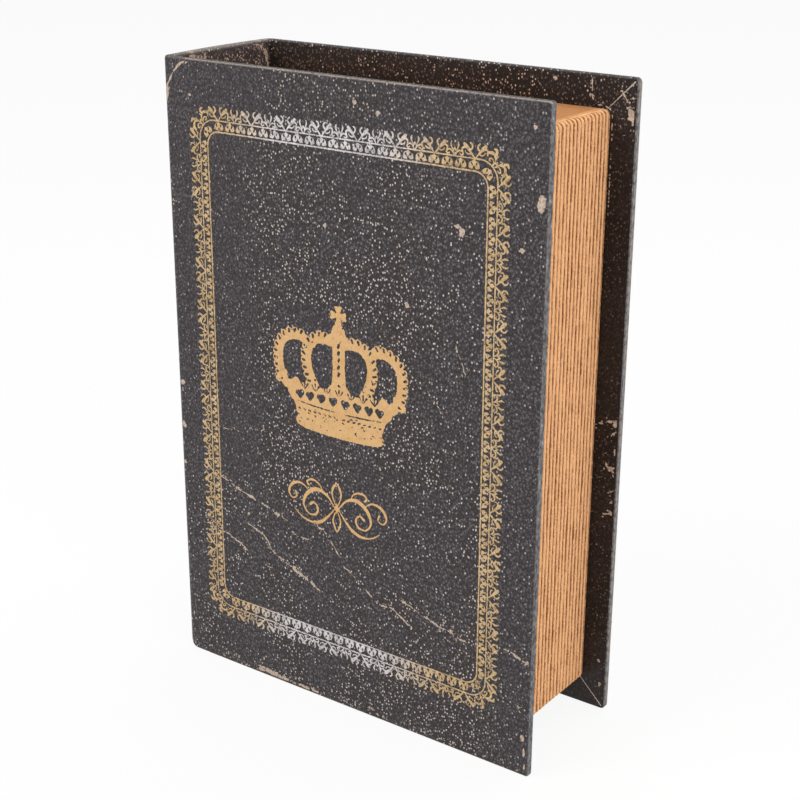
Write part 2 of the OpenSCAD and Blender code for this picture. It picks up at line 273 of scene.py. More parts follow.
# ---------------------------------------------------------------- covers
def cover_skin(name, x_hinge, y_outer, inward, rubbed, materials):
    """Leatherette round a cover board: outer face, rounded arrises and mitred flaps. Inward
    is +1 where the inner face looks to +Y. rubbed is how pale its arrises are drawn,
    partly as rubbed wear and partly as painted highlight."""
    r = size_mm("arris")
    corner = size_mm("corner" if inward > 0 else "back_corner")
    t, w, inner_r = COVER_T, WRAP_T, 0.8 * r
    # Across the edge: inset from the outline, depth from the outer face
    across = [(r + 0.5, 0.0), *arc((r, r), r, -90, -180, 6),
              *arc((inner_r, t - inner_r), inner_r, 180, 90, 6), (inner_r + 0.5, t),
              (TURN_IN - 0.4, t), (TURN_IN, t - 0.25), (TURN_IN, t - w), (w, t - w), (w, w),
              (r + 0.5, w)]
    # Stations on a corner, on the head and tail edges, and on the fore-edge
    steps, edge_steps, side_steps = 7, 9, 15
    mid = steps // 2

    def ring(inset, depth):
        """Points round the cover. Where they are on a flap, its mitres part in a slit."""
        cr = max(corner - inset, 0.0)
        flap = depth > t - 0.3 and inset > 1.0
        shift, dip = (SLIT, SLIT_DEPTH) if flap else (0.0, 0.0)
        low, high, x = inset, HEIGHT - inset, FRONT_HIGH[0] - inset

        def corner_points(z, start, before, after):
            turned = []
            for j, (px, pz) in enumerate(arc((x - cr, z), cr, start, start + 90, steps)):
                way = before if j < mid else after if j > mid else (0, 0)
                turned.append((px + way[0] * shift, pz + way[1] * shift, dip * (j == mid)))
            return turned[1:-1]

        edge = np.linspace(x_hinge, x - cr - shift, edge_steps)
        side = np.linspace(low + cr + shift, high - cr - shift, side_steps)
        places = ([(px, low, 0.0) for px in edge]
                  + corner_points(low + cr, -90, (-1, 0), (0, 1))
                  + [(x, pz, 0.0) for pz in side]
                  + corner_points(high - cr, 0, (0, -1), (-1, 0))
                  + [(px, high, 0.0) for px in edge[::-1]])
        return [(px, y_outer + inward * (depth - d), pz) for px, pz, d in places]

    rings = [ring(*place) for place in across]
    points, faces = loft(rings, closed=False)
    rows, per = len(rings), len(rings[0])
    # Rows 1 to 6 are the outer arris, 7 to 12 the inner one, and those after are the flap.
    # Columns 9 to 13 are the tail's corner, 14 to 28 the fore-edge, 29 to 33 the head's corner.
    # The fore-edge keeps the outer finish to the inner arris. On the front, head and tail turn to
    # the darker
    #     turned-in finish after the outer arris: painted shade on those edge faces. The back keeps
    #     its outer finish there
    tail_mitre = edge_steps - 1 + mid
    mitres = [first + k for first in (tail_mitre, tail_mitre + side_steps + steps - 2)
              for k in (-1, 0)]
    slots = []
    for row in range(rows - 1):
        for col in range(per - 1):
            turned = row >= (11 if edge_steps <= col < per - 10 or rubbed < 1 else 6)
            slots.append(2 if col in mitres and row in (13, 14) else int(turned))
    tail = [i * per for i in range(rows)]
    head = [i + per - 1 for i in tail]
    faces += [tuple(tail), tuple(head)[::-1], (tail[0], head[0], head[-1], tail[-1])]
    slots += [0] * (len(faces) - len(slots))
    arris, edge = np.zeros((2, rows, per))
    # A pale line on the outer arris, partly rubbed wear and partly painted highlight, weaker along
    # the fore-edge
    arris[1:7] = rubbed * np.array([0.0, 0.05, 0.55, 1.0, 0.3, 0.0])[:, None]
    arris[:, 13:per - 13] *= 0.22
    # On the back, the head and tail edge faces turn pale grey: painted sheen. On the front, a pale
    # spot sits at the head's fore-edge corner: painted highlight over rubbed wear
    if rubbed < 1:
        arris[3:9, 12:per - 12] = 0.5
    else:
        arris[3:6, per - 13:per - 9] = 1.0
    # The edge mark lays that band of painted sheen on the fore-edge face between its arrises
    edge[3:12, 11:per - 11] = np.array([0.25, 0.7, 1, 1, 1, 1, 1, 1, 0.5])[:, None]
    return piece(name, points, faces, materials, slots,
                 {"arris": arris.ravel(), "edge": edge.ravel()})


# ---------------------------------------------------------------- spine and joints
def spine_line():
    """The covering's outer line in plan, from the back cover to the front cover. It has its
    outward direction, how far its tail and head ends draw in (low, high), the station where
    the front bend begins (split) and the distance from the middle of that bend (gone)."""
    front = (BEND_LOW[0] + BEND_R, SPINE_LOW[1])
    pts = arc((BACK_LOW[0], SPINE_HIGH[1]), BACK_R, 90, 180 - SPINE_LEAN, BACK_STATIONS)
    fold = arc(front, BEND_R, 180 + SPINE_LEAN, 270, 2 * BEND_MIDDLE + 1)
    (x0, y0), (x1, y1) = pts[-1], fold[0]
    half, sag = (y0 - y1) / 2, (x0 + x1) / 2 - SPINE_LOW[0]
    bow = (half * half + sag * sag) / (2 * sag)
    # Stations stand closer together near the front bend
    near = y1 + 6
    for y in np.concatenate([np.linspace(y0, near, 34)[1:], np.linspace(near, y1, 12)[1:-1]]):
        d = y - (y0 + y1) / 2
        base = x0 + (x1 - x0) * (y0 - y) / (y0 - y1)
        pts.append((base - (math.sqrt(bow * bow - d * d) - (bow - sag)), y))
    split = len(pts)
    pts += fold + [(x, FRONT_LOW[1]) for x in np.linspace(front[0], FRONT_LOW[0], 25)[1:]]
    pts, _, out, gone = follow_line(pts)
    middle = split + BEND_MIDDLE
    gone -= gone[middle]
    ends = []
    for r in FOLD_END_R:
        cut = r - np.sqrt(r * r - np.clip(r - abs(gone), 0, r) ** 2)
        cut[middle] = (cut[middle - 1] + cut[middle + 1]) / 2 + FOLD_NOTCH
        ends.append(cut)
    return SimpleNamespace(points=pts, out=out, low=ends[0], high=ends[1], split=split,
                           gone=gone)


def spine_skin(materials):
    """Leatherette round the spine board and the bend to the back cover."""
    line = spine_line()
    r, t, w = SPINE_ARRIS, COVER_T, WRAP_T
    # Pale marks across the head and tail edges: mostly painted highlight where the rounded head
    # and tail face the light, with some rubbed wear
    rubbed = [0.0, 0.15, 0.4, 0.6, 0.5, 0.45, 0.45, 0.45, 0.5, 0.5, 0.4, 0.25, 0.12, 0.05,
              0.05, 0.05, 0.0, 0.0, 0.0, 0.0]
    tail = [*arc((r, r), r, 180, 270, 7), *arc((t - r, r), r, -90, 0, 7), (t, r + 0.6),
            (t, TURN_IN - 0.4), (t - 0.25, TURN_IN), (t - w, TURN_IN), (t - w, w), (w, w)]
    rings, marks = [], []
    for i, p in enumerate(line.points[:line.split + 1]):
        # Round the back bend, the covering is as thick as the back cover
        inner = (SPINE_HIGH[:2] + 0.1 if i < BACK_STATIONS else
                 np.array([SPINE_HIGH[0], np.clip(p[1], SPINE_LOW[1], SPINE_HIGH[1])]))
        rings.append([(*(p + (inner - p) * (d / t)), end + way * z)
                      for end, way in ((line.low[i], 1), (HEIGHT - line.high[i], -1))
                      for d, z in tail[::way]])
        # The head is rubbed pale where the covering is folded, near each joint
        fold = max(math.exp(-(p[1] - y) ** 2) for y in (-20.5, 26.0))
        marks += rubbed + [v * (1 + 2 * fold) for v in rubbed[::-1]]
    points, faces = loft(rings)
    return piece("spine_leatherette", points, faces, materials, marks={"arris": marks})


def joint_skin(materials):
    """Leatherette over the flexible front joint. It is thin between the pages' ends and
    turned in thick beyond them."""
    line = spine_line()
    thin_low, thin_high, turn, full = 12.4, 287.2, 7, COVER_T - 0.45
    levels = np.array([0.6, 2.0, 5.0, 8.0, 10.0, 11.2, thin_low, 20.0, *np.linspace(30, 270, 9),
                       279.0, thin_high, 288.6, 290, 292, 295, 298, 299.4])
    thick = STRIP_T + (full - STRIP_T) * eased(
        np.clip((thin_low - levels) / turn, 0, 1) + np.clip((levels - thin_high) / turn, 0, 1))
    r, t = 1.2, thick[0]
    rubbed = [0.0, 0.1, 0.22, 0.15, 0.1]
    rings, marks = [], []
    for p, out, low, high in list(zip(line.points, line.out, line.low, line.high))[line.split:]:
        low, high = low + r, HEIGHT - high - r
        ring = [*arc((r, low), r, 180, 270, 5), *arc((t - r, low), r, -90, 0, 5),
                *zip(thick, np.clip(levels, low + 0.1, high - 0.1)),
                *arc((t - r, high), r, 0, 90, 5), *arc((r, high), r, 90, 180, 5)]
        rings.append([(*(p - out * d), z) for d, z in ring])
        marks += rubbed + [0.0] * (10 + len(levels)) + rubbed[::-1]
    points, faces = loft(rings)
    per = len(rings[0])
    slots = [int(k < (len(rings) - 1) * per and 8 <= k % per < 11 + len(levels))
             for k in range(len(faces))]
    return piece("front_joint_leatherette", points, faces, materials, slots, {"arris": marks})


def joint_cloth(materials):
    """Black cloth inside the front joint, up the board's edge and on to the pastedown."""
    line = spine_line()
    strip = (line.points - line.out * (STRIP_T + 0.02))[line.split:]
    x, y, y_in = FRONT_LOW[0], FRONT_LOW[1], FRONT_HIGH[1]
    outer, _, out, _ = follow_line([
        (SPINE_HIGH[0] - 0.05, SPINE_LOW[1] - 0.02), (SPINE_HIGH[0] - 1.2, SPINE_LOW[1] - 0.05),
        *strip[strip[:, 0] < x - 0.35][1:],
        (x - 0.2, y + STRIP_T + CLOTH_T), (x - 0.08, y + 2.2), (x - 0.05, y_in - CLOTH_T),
        (x + 0.1, y_in), (x + 4.0, y_in), (x + 9.0, y_in)])
    levels = np.linspace(14.0, 285.6, 24)
    rings = [[(*p, z) for z in levels] + [(*q, z) for z in levels[::-1]]
             for p, q in zip(outer, outer - out * CLOTH_T)]
    points, faces = loft(rings)
    return piece("joint_cloth_hinge", points, faces, materials)


# ---------------------------------------------------------------- page walls
def page_walls(materials):
    """The grooved walls that stand for the page edges: head, fore-edge and tail in one bent
    board, with uneven ridges like a stack of leaves."""
    pitch, tall = size_mm("ridge_pitch"), size_mm("ridge_height")
    r = PAGE_CORNER_R
    x_out, z_low, z_high = PAGES_HIGH[0], TAIL_LOW[2], HEAD_HIGH[2]
    # Stations stand closer together near the corners
    straight = np.concatenate([np.arange(edges_mm("head_wall")[0][0], x_out - r - 7, 3.0),
                               x_out - r - np.array([6.5, 5.5, 4.5, 3.5, 2.5, 1.5, 0.7])])

    def corner(z, start):
        return [(x_out - r + r * math.cos(a), z + r * math.sin(a), math.cos(a), math.sin(a))
                for a in np.radians(np.linspace(start, start + 90, 13))]

    # Stations: place on the outer line and outward direction
    stations = np.array(
        [(x, z_low, 0.0, -1.0) for x in straight] + corner(z_low + r, -90)
        + [(x_out, z, 1.0, 0.0) for z in np.linspace(z_low + r, z_high - r, 91)[1:-1]]
        + corner(z_high - r, 0) + [(x, z_high, 0.0, 1.0) for x in straight[::-1]])
    n = len(stations)
    rim = RIM_Y + MAGNETS_PROUD
    first = BED_Y - FIRST_RIDGE
    count = int((first - RIM_Y) / pitch) + 1
    # Ridge tops, counted from the back cover; between them lie the grooves
    tops, heights, widths = [
        np.array([base + wander(n, step, seed + k, reach) for k in range(count)])
        for base, step, seed, reach in ((0.0, 0.13, 40, 4), (0.9, 0.16, 140, 5),
                                        (0.5, 0.03, 240, 4))]
    tops += first - pitch * np.arange(count)[:, None]
    # The ridges run on over the corners and fade out on the pressed head and tail faces
    pressed = eased(np.clip((x_out - r - stations[:, 0]) / 4.5, 0, 1))
    heights *= 1 - 0.88 * pressed
    across = np.array([-1.0, -0.72, -0.48, -0.25, 0.0, 0.25, 0.48, 0.72, 1.0])
    drop = (1 - np.cos(abs(across) ** 1.7 * math.pi)) / 2
    least = 0.02 + 0.001 * np.arange(count * len(across), -1, -1)
    rings, marks = [], []
    for i, (x, z, nx, nz) in enumerate(stations):
        ys = np.append(BED_Y, tops[:, i, None] - across * widths[:, i, None] * pitch)
        deep = np.append(0.25, tall * np.clip(drop * heights[:, i, None], 0, 1))
        ys = np.clip(ys, rim, BED_Y)
        for j in range(1, len(ys)):
            ys[j] = min(ys[j], ys[j - 1] - 0.01)
        ys = np.clip(ys, rim + least, BED_Y)
        # Inner faces meet square in the corners
        inner_x = min(x, x_out - PAGE_BOARD_T)
        inner_z = min(max(z, z_low + PAGE_BOARD_T), z_high - PAGE_BOARD_T)
        rings.append([(x - nx * d, y, z - nz * d) for y, d in zip(ys, deep)]
                     + [(x - nx * 0.3, rim, z - nz * 0.3), (inner_x, rim, inner_z),
                        (inner_x, BED_Y, inner_z)])
        # The ridge mark falls from 1 on the crests to 0 at the grooves' bottom; the colour darkens
        # with it as painted shade
        marks.append([*(1 - deep / tall), 0.8, 0.8, 0.8])
    points, faces = loft(rings)
    return piece("page_walls", points, faces, materials, smooth=60,
                 marks={"ridge": np.ravel(marks), "pressed": np.repeat(pressed, len(marks[0]))})


# ---------------------------------------------------------------- prints
def segment_gap(xx, zz, a, b):
    """Distance from a straight line between two points, and the share of it gone by."""
    d = b - a
    t = np.clip(((xx - a[0]) * d[0] + (zz - a[1]) * d[1]) / max(d @ d, 1e-9), 0, 1)
    return np.hypot(xx - a[0] - t * d[0], zz - a[1] - t * d[1]), t


class Canvas:
    """Signed distance to painted shapes, in millimetres, on a grid over part of a face. It is
    below zero inside them."""

    def __init__(self, x_low, z_low, x_high, z_high, step):
        self.x = np.arange(x_low, x_high, step)
        self.z = np.arange(z_low, z_high, step)
        self.far = np.full((len(self.z), len(self.x)), FAR)

    def window(self, low, high):
        i = slice(*np.searchsorted(self.x, [low[0], high[0]]))
        j = slice(*np.searchsorted(self.z, [low[1], high[1]]))
        return i, j, np.meshgrid(self.x[i], self.z[j])

    def join(self, i, j, shape, cut):
        part = self.far[j, i]
        self.far[j, i] = np.maximum(part, -shape) if cut else np.minimum(part, shape)

    def stroke(self, points, radii, cut=False):
        """A brush stroke whose radius changes from point to point."""
        points = np.asarray(points, float)
        radii = np.atleast_1d(radii)
        radii = np.interp(np.linspace(0, 1, len(points)), np.linspace(0, 1, len(radii)), radii)
        for a, b, ra, rb in zip(points[:-1], points[1:], radii[:-1], radii[1:]):
            reach = max(ra, rb) + FAR
            i, j, (xx, zz) = self.window(np.minimum(a, b) - reach, np.maximum(a, b) + reach)
            gap, t = segment_gap(xx, zz, a, b)
            self.join(i, j, gap - (ra + (rb - ra) * t), cut)

    def dash(self, at, run, radius, cut=False):
        """A short straight stroke."""
        self.stroke([at, at + run], radius, cut)

    def fill(self, outline, cut=False):
        """A filled outline."""
        outline = np.asarray(outline, float)
        i, j, (xx, zz) = self.window(outline.min(0) - FAR, outline.max(0) + FAR)
        inside = np.zeros(xx.shape, bool)
        gap = np.full(xx.shape, 9.0)
        for a, b in zip(outline, np.roll(outline, -1, axis=0)):
            gap = np.minimum(gap, segment_gap(xx, zz, a, b)[0])
            if a[1] != b[1]:
                over = (a[1] > zz) != (b[1] > zz)
                inside ^= over & (xx < (b - a)[0] * (zz - a[1]) / (b - a)[1] + a[0])
        self.join(i, j, np.where(inside, -gap, gap), cut)

    def noise(self, size, seed):
        """Smooth noise from -1 to 1, with features of the given size."""
        u, v = (self.x - self.x[0]) / size, (self.z - self.z[0]) / size
        i, j = u.astype(int), v.astype(int)[:, None]
        knots = np.random.default_rng(seed).uniform(-1, 1, (int(v[-1]) + 3, int(u[-1]) + 3))
        u, v = eased(u - i), eased(v[:, None] - j)
        return ((knots[j, i] * (1 - u) + knots[j, i + 1] * u) * (1 - v)
                + (knots[j + 1, i] * (1 - u) + knots[j + 1, i + 1] * u) * v)

    def roughen(self, *layers):
        """Ragged edges from layers of noise: size, seed and amount."""
        for size, seed, amount in layers:
            self.far = self.far + self.noise(size, seed) * amount
        return self


def bend(points, per=6, closed=False):
    """A smooth line through points."""
    p = np.asarray(points, float)
    p = np.concatenate([p[-1:], p, p[:2]]) if closed else np.concatenate([p[:1], p, p[-1:]])
    t = np.linspace(0, 1, per, endpoint=False)[:, None]
    out = []
    for a, b, c, d in zip(p[:-3], p[1:-2], p[2:-1], p[3:]):
        out.append(0.5 * (2 * b + (c - a) * t + (2 * a - 5 * b + 4 * c - d) * t * t
                          + (3 * b - a - 3 * c + d) * t ** 3))
    out = np.concatenate(out)
    return out if closed else np.concatenate([out, p[-2:-1]])


# Which cell sides a contour joins, for each case of inside corners; the inside is on its left
CONTOUR_SIDES = {1: [(0, 3)], 2: [(1, 0)], 3: [(1, 3)], 4: [(2, 1)], 5: [(0, 3), (2, 1)],
                 6: [(2, 0)], 7: [(2, 3)], 8: [(3, 2)], 9: [(0, 2)], 10: [(1, 0), (3, 2)],
                 11: [(1, 2)], 12: [(3, 1)], 13: [(0, 1)], 14: [(3, 0)]}
CHORD_GAP = 0.02       # points nearer than this to their neighbours' chord are left out
LEAST_AREA = 0.03


def contours(canvas):
    """Closed outlines of a canvas's painted shapes."""
    far = canvas.far.copy()
    far[[0, -1], :] = FAR
    far[:, [0, -1]] = FAR
    far[far == 0] = 1e-6
    cols = far.shape[1]
    inside = far < 0
    case = (inside[:-1, :-1] * 1 + inside[:-1, 1:] * 2 + inside[1:, 1:] * 4
            + inside[1:, :-1] * 8)
    upright = far.size
    follow = {}
    for kind, sides in CONTOUR_SIDES.items():
        j, i = np.nonzero(case == kind)
        at = j * cols + i
        names = (at, upright + at + 1, at + cols, upright + at)
        for a, b in sides:
            follow.update(zip(names[a].tolist(), names[b].tolist()))
    flat = far.ravel()
    loops = []
    while follow:
        start, at = follow.popitem()
        loop = [start]
        while at != start:
            loop.append(at)
            at = follow.pop(at)
        ids = np.array(loop)
        across = ids < upright
        at = np.where(across, ids, ids - upright)
        share = flat[at] / (flat[at] - flat[np.where(across, at + 1, at + cols)])
        j, i = np.divmod(at, cols)
        step = canvas.x[1] - canvas.x[0]
        pts = np.stack([canvas.x[i] + np.where(across, share, 0) * step,
                        canvas.z[j] + np.where(across, 0, share) * step], 1)
        for _ in range(4):
            if len(pts) < 8:
                break
            before = np.roll(pts, 1, 0)
            chord, arm = np.roll(pts, -1, 0) - before, pts - before
            off = abs(chord[:, 0] * arm[:, 1] - chord[:, 1] * arm[:, 0])
            drop = off / np.maximum(np.linalg.norm(chord, axis=1), 1e-9) < CHORD_GAP
            drop[::2] = False
            pts = pts[~drop]
        x, z = pts.T
        area = abs(x @ np.roll(z, -1) - z @ np.roll(x, -1)) / 2
        if len(pts) > 2 and area > LEAST_AREA:
            loops.append(pts)
    return loops


def on_face(y, way):
    """Lays a film on a cover's face at y that looks along Y, back (-1) or forth (+1)."""
    return lambda x, z, lift: np.stack([x, y + way * lift, z], 1)


def in_spine(y, z, lift):
    """Lays a film on the inner face of the spine."""
    return np.stack([SPINE_HIGH[0] + lift, y, z], 1)


def on_joint(along, z, lift):
    """Lays a film on the front joint and the spine, by the distance from the middle of the
    joint's bend."""
    line = spine_line()
    x, y = [np.interp(along, line.gone, line.points[:, k])
            + np.interp(along, line.gone, line.out[:, k]) * lift for k in (0, 1)]
    return np.stack([x, y, z], 1)


def film(name, canvas, material, lay=on_face(FRONT_LOW[1], -1), body=FRONT, strip=None):
    """A thin closed film in the form of a canvas's shapes, lying on a face. Over a bend it is
    laid in strips of the given width."""
    thick = size_mm("film") + FILM_SUNK
    curve = bpy.data.curves.new(name, "CURVE")
    curve.dimensions = "2D"
    curve.fill_mode = "BOTH"
    curve.extrude = thick / 2
    far = canvas.far
    for middle in np.arange(canvas.x[0], canvas.x[-1], strip) if strip else [None]:
        if strip:
            canvas.far = np.maximum(far, abs(canvas.x - middle)[None, :] - strip / 2 + STRIP_GAP)
        for loop in contours(canvas):
            spline = curve.splines.new("POLY")
            spline.points.add(len(loop) - 1)
            flat = np.zeros((len(loop), 4))
            flat[:, :2] = loop
            flat[:, 3] = 1
            spline.points.foreach_set("co", flat.ravel())
            spline.use_cyclic_u = True
    drawn = bpy.data.objects.new(name + "_curve", curve)
    mesh = drawn.to_mesh()
    co = np.zeros(len(mesh.vertices) * 3)
    mesh.vertices.foreach_get("co", co)
    a, b, lift = co.reshape(-1, 3).T
    points = lay(a, b, lift + thick / 2 - FILM_SUNK)
    faces = [tuple(p.vertices) for p in mesh.polygons]
    drawn.to_mesh_clear()
    bpy.data.objects.remove(drawn)
    bpy.data.curves.remove(curve)
    made = piece(name, points, faces, [material])
    if body:
        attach(made, body)
    return made


def placed(points, at, turn=0, size=1.0, flip=False):
    """Points of a motif, turned by degrees and set on the cover."""
    p = np.asarray(points, float) * size * (-1 if flip else 1, 1)
    c, s = math.cos(math.radians(turn)), math.sin(math.radians(turn))
    return np.stack([p[:, 0] * c - p[:, 1] * s + at[0], p[:, 0] * s + p[:, 1] * c + at[1]], 1)


def draw_pair(canvas, strokes, at, turn=0, size=1.0, per=6):
    """A motif's strokes and their mirror images. A stroke is a line and its radii."""
    for flip in (False, True):
        for line, radii in strokes:
            canvas.stroke(placed(bend(line, per), at, turn, size, flip), np.array(radii) * size)


# An acanthus leaf that leans from its foot, with a lobe and a hooked curl
LEAF = (
    ([(0.2, 0.1), (1.4, 1.5), (2.6, 2.9), (3.9, 4.2), (5.0, 5.3)], (0.24, 0.36, 0.52, 0.86, 0.7)),
    ([(2.9, 3.0), (2.0, 3.4), (1.3, 4.3), (1.5, 5.4), (2.3, 6.0)], (0.44, 0.42, 0.4, 0.38, 0.3)),
    ([(4.4, 4.2), (5.5, 4.0), (6.2, 3.2), (5.8, 2.4)], (0.44, 0.4, 0.32, 0.22)),
    ([(1.9, 1.8), (3.1, 1.5), (4.3, 1.9), (4.7, 2.7)], (0.24, 0.3, 0.28, 0.18)))
# An upright bud over a curled tendril
BUD = (
    ([(1.0, 2.5), (1.5, 3.5), (1.9, 4.7), (1.5, 5.8)], (0.16, 0.34, 0.42, 0.14)),
    ([(0.3, 0.2), (0.9, 1.4), (2.0, 2.3), (3.3, 2.2), (4.0, 1.3), (3.3, 0.7), (2.6, 1.1)],
     (0.2, 0.3, 0.38, 0.36, 0.34, 0.3, 0.24)),
    ([(0.9, 1.5), (0.4, 2.6), (0.1, 3.4)], (0.2, 0.32, 0.16)))
# The broad curls beside the bud in a corner
CORNER_CURLS = (
    ([(1.6, 3.2), (3.0, 4.2), (4.6, 3.6), (5.6, 2.0), (4.8, 1.2)], (0.3, 0.5, 0.6, 0.42, 0.26)),
    ([(2.6, 5.0), (3.6, 6.1), (4.8, 5.6)], (0.5, 0.62, 0.3)))


def shell(canvas, at, turn, tall=3.9):
    """A small palmette: a dome of three petals with two open eyes, standing on two feet."""
    dome = bend([(-2.1, 0.1), (-2.6, 1.4), (-2.0, 2.8), (-0.9, 3.2), (0.0, 3.9), (0.9, 3.2),
                 (2.0, 2.8), (2.6, 1.4), (2.1, 0.1)], 4, closed=True)
    stretch = np.array([1.0, tall / 3.9])
    canvas.fill(placed(dome * stretch, at, turn))
    canvas.fill(placed([(-0.9, 0.0), (0.0, 1.6), (0.9, 0.0)] * stretch, at, turn), cut=True)
    for flip in (False, True):
        canvas.stroke(placed([(0.9, 1.6), (1.3, 2.4)] * stretch, at, turn, flip=flip),
                      (0.26, 0.48), cut=True)


def rounded_frame(low, high, r):
    """A closed line round a rectangle with rounded corners."""
    out = []
    for x, z, start in ((high[0] - r, high[1] - r, 0), (low[0] + r, high[1] - r, 90),
                        (low[0] + r, low[1] + r, 180), (high[0] - r, low[1] + r, 270)):
        out += arc((x, z), r, start, start + 90, 10)
    return out + out[:1]


def border_canvas():
    """The gilt border: two fine lines with palmettes between them and leaves outside."""
    low, high = np.array([-78.6, 31.7]), np.array([79.3, 274.0])
    in_low, in_high = np.array([-74.2, 37.2]), np.array([74.8, 269.0])
    middle = (low + high) / 2
    canvas = Canvas(-90, 20, 91, 286, 0.2)
    canvas.stroke(rounded_frame(low, high, 8.5), 0.3)
    canvas.stroke(rounded_frame(in_low, in_high, 6.5), 0.34)

    def side(turn, level, steps):
        """Places on the side that a motif's turn stands on, by distance from its middle."""
        return [(middle[0] + t, level) if turn % 180 == 0 else (level, middle[1] + t)
                for t in steps]

    def corners(low, high, inset):
        """Each corner's place, set in, and the turn of a motif that points out of it."""
        for sx, sz in ((-1, -1), (1, -1), (1, 1), (-1, 1)):
            corner = np.array([(high if sx > 0 else low)[0], (high if sz > 0 else low)[1]])
            yield corner - np.array([sx, sz]) * inset, math.degrees(math.atan2(-sx, sz))

    # Palmettes between the lines
    for turn, level, half, count, tall in (
            (0, in_high[1] + 0.8, 67.6, 22, 3.8), (180, in_low[1] - 0.3, 67.6, 22, 4.6),
            (90, in_low[0] - 0.7, 108.8, 35, 3.3), (-90, in_high[0] + 0.7, 108.8, 35, 3.4)):
        for at in side(turn, level, np.linspace(-half, half, count)):
            shell(canvas, at, turn, tall)
    for at, turn in corners(in_low, in_high, 1.4):
        shell(canvas, at, turn)
    # Leaves and buds outside
    for turn, level, half, count in ((0, high[1], 68.0, 8), (180, low[1], 68.0, 8),
                                     (90, low[0], 110.8, 12), (-90, high[0], 110.8, 12)):
        leaves = np.linspace(-half, half, count)
        for motif, steps in ((LEAF, leaves), (BUD, (leaves[1:] + leaves[:-1]) / 2)):
            for at in side(turn, level, steps):
                draw_pair(canvas, motif, at, turn)
    for at, turn in corners(low, high, 2.5):
        draw_pair(canvas, BUD, at, turn, 0.9)
        draw_pair(canvas, CORNER_CURLS, at, turn)
    rubbed = canvas.noise(9.0, 7)
    canvas.roughen((0.7, 5, 0.08), (0.45, 6, 0.06))
    canvas.far += np.clip(rubbed - 0.35, 0, 1) * 0.1
    return canvas


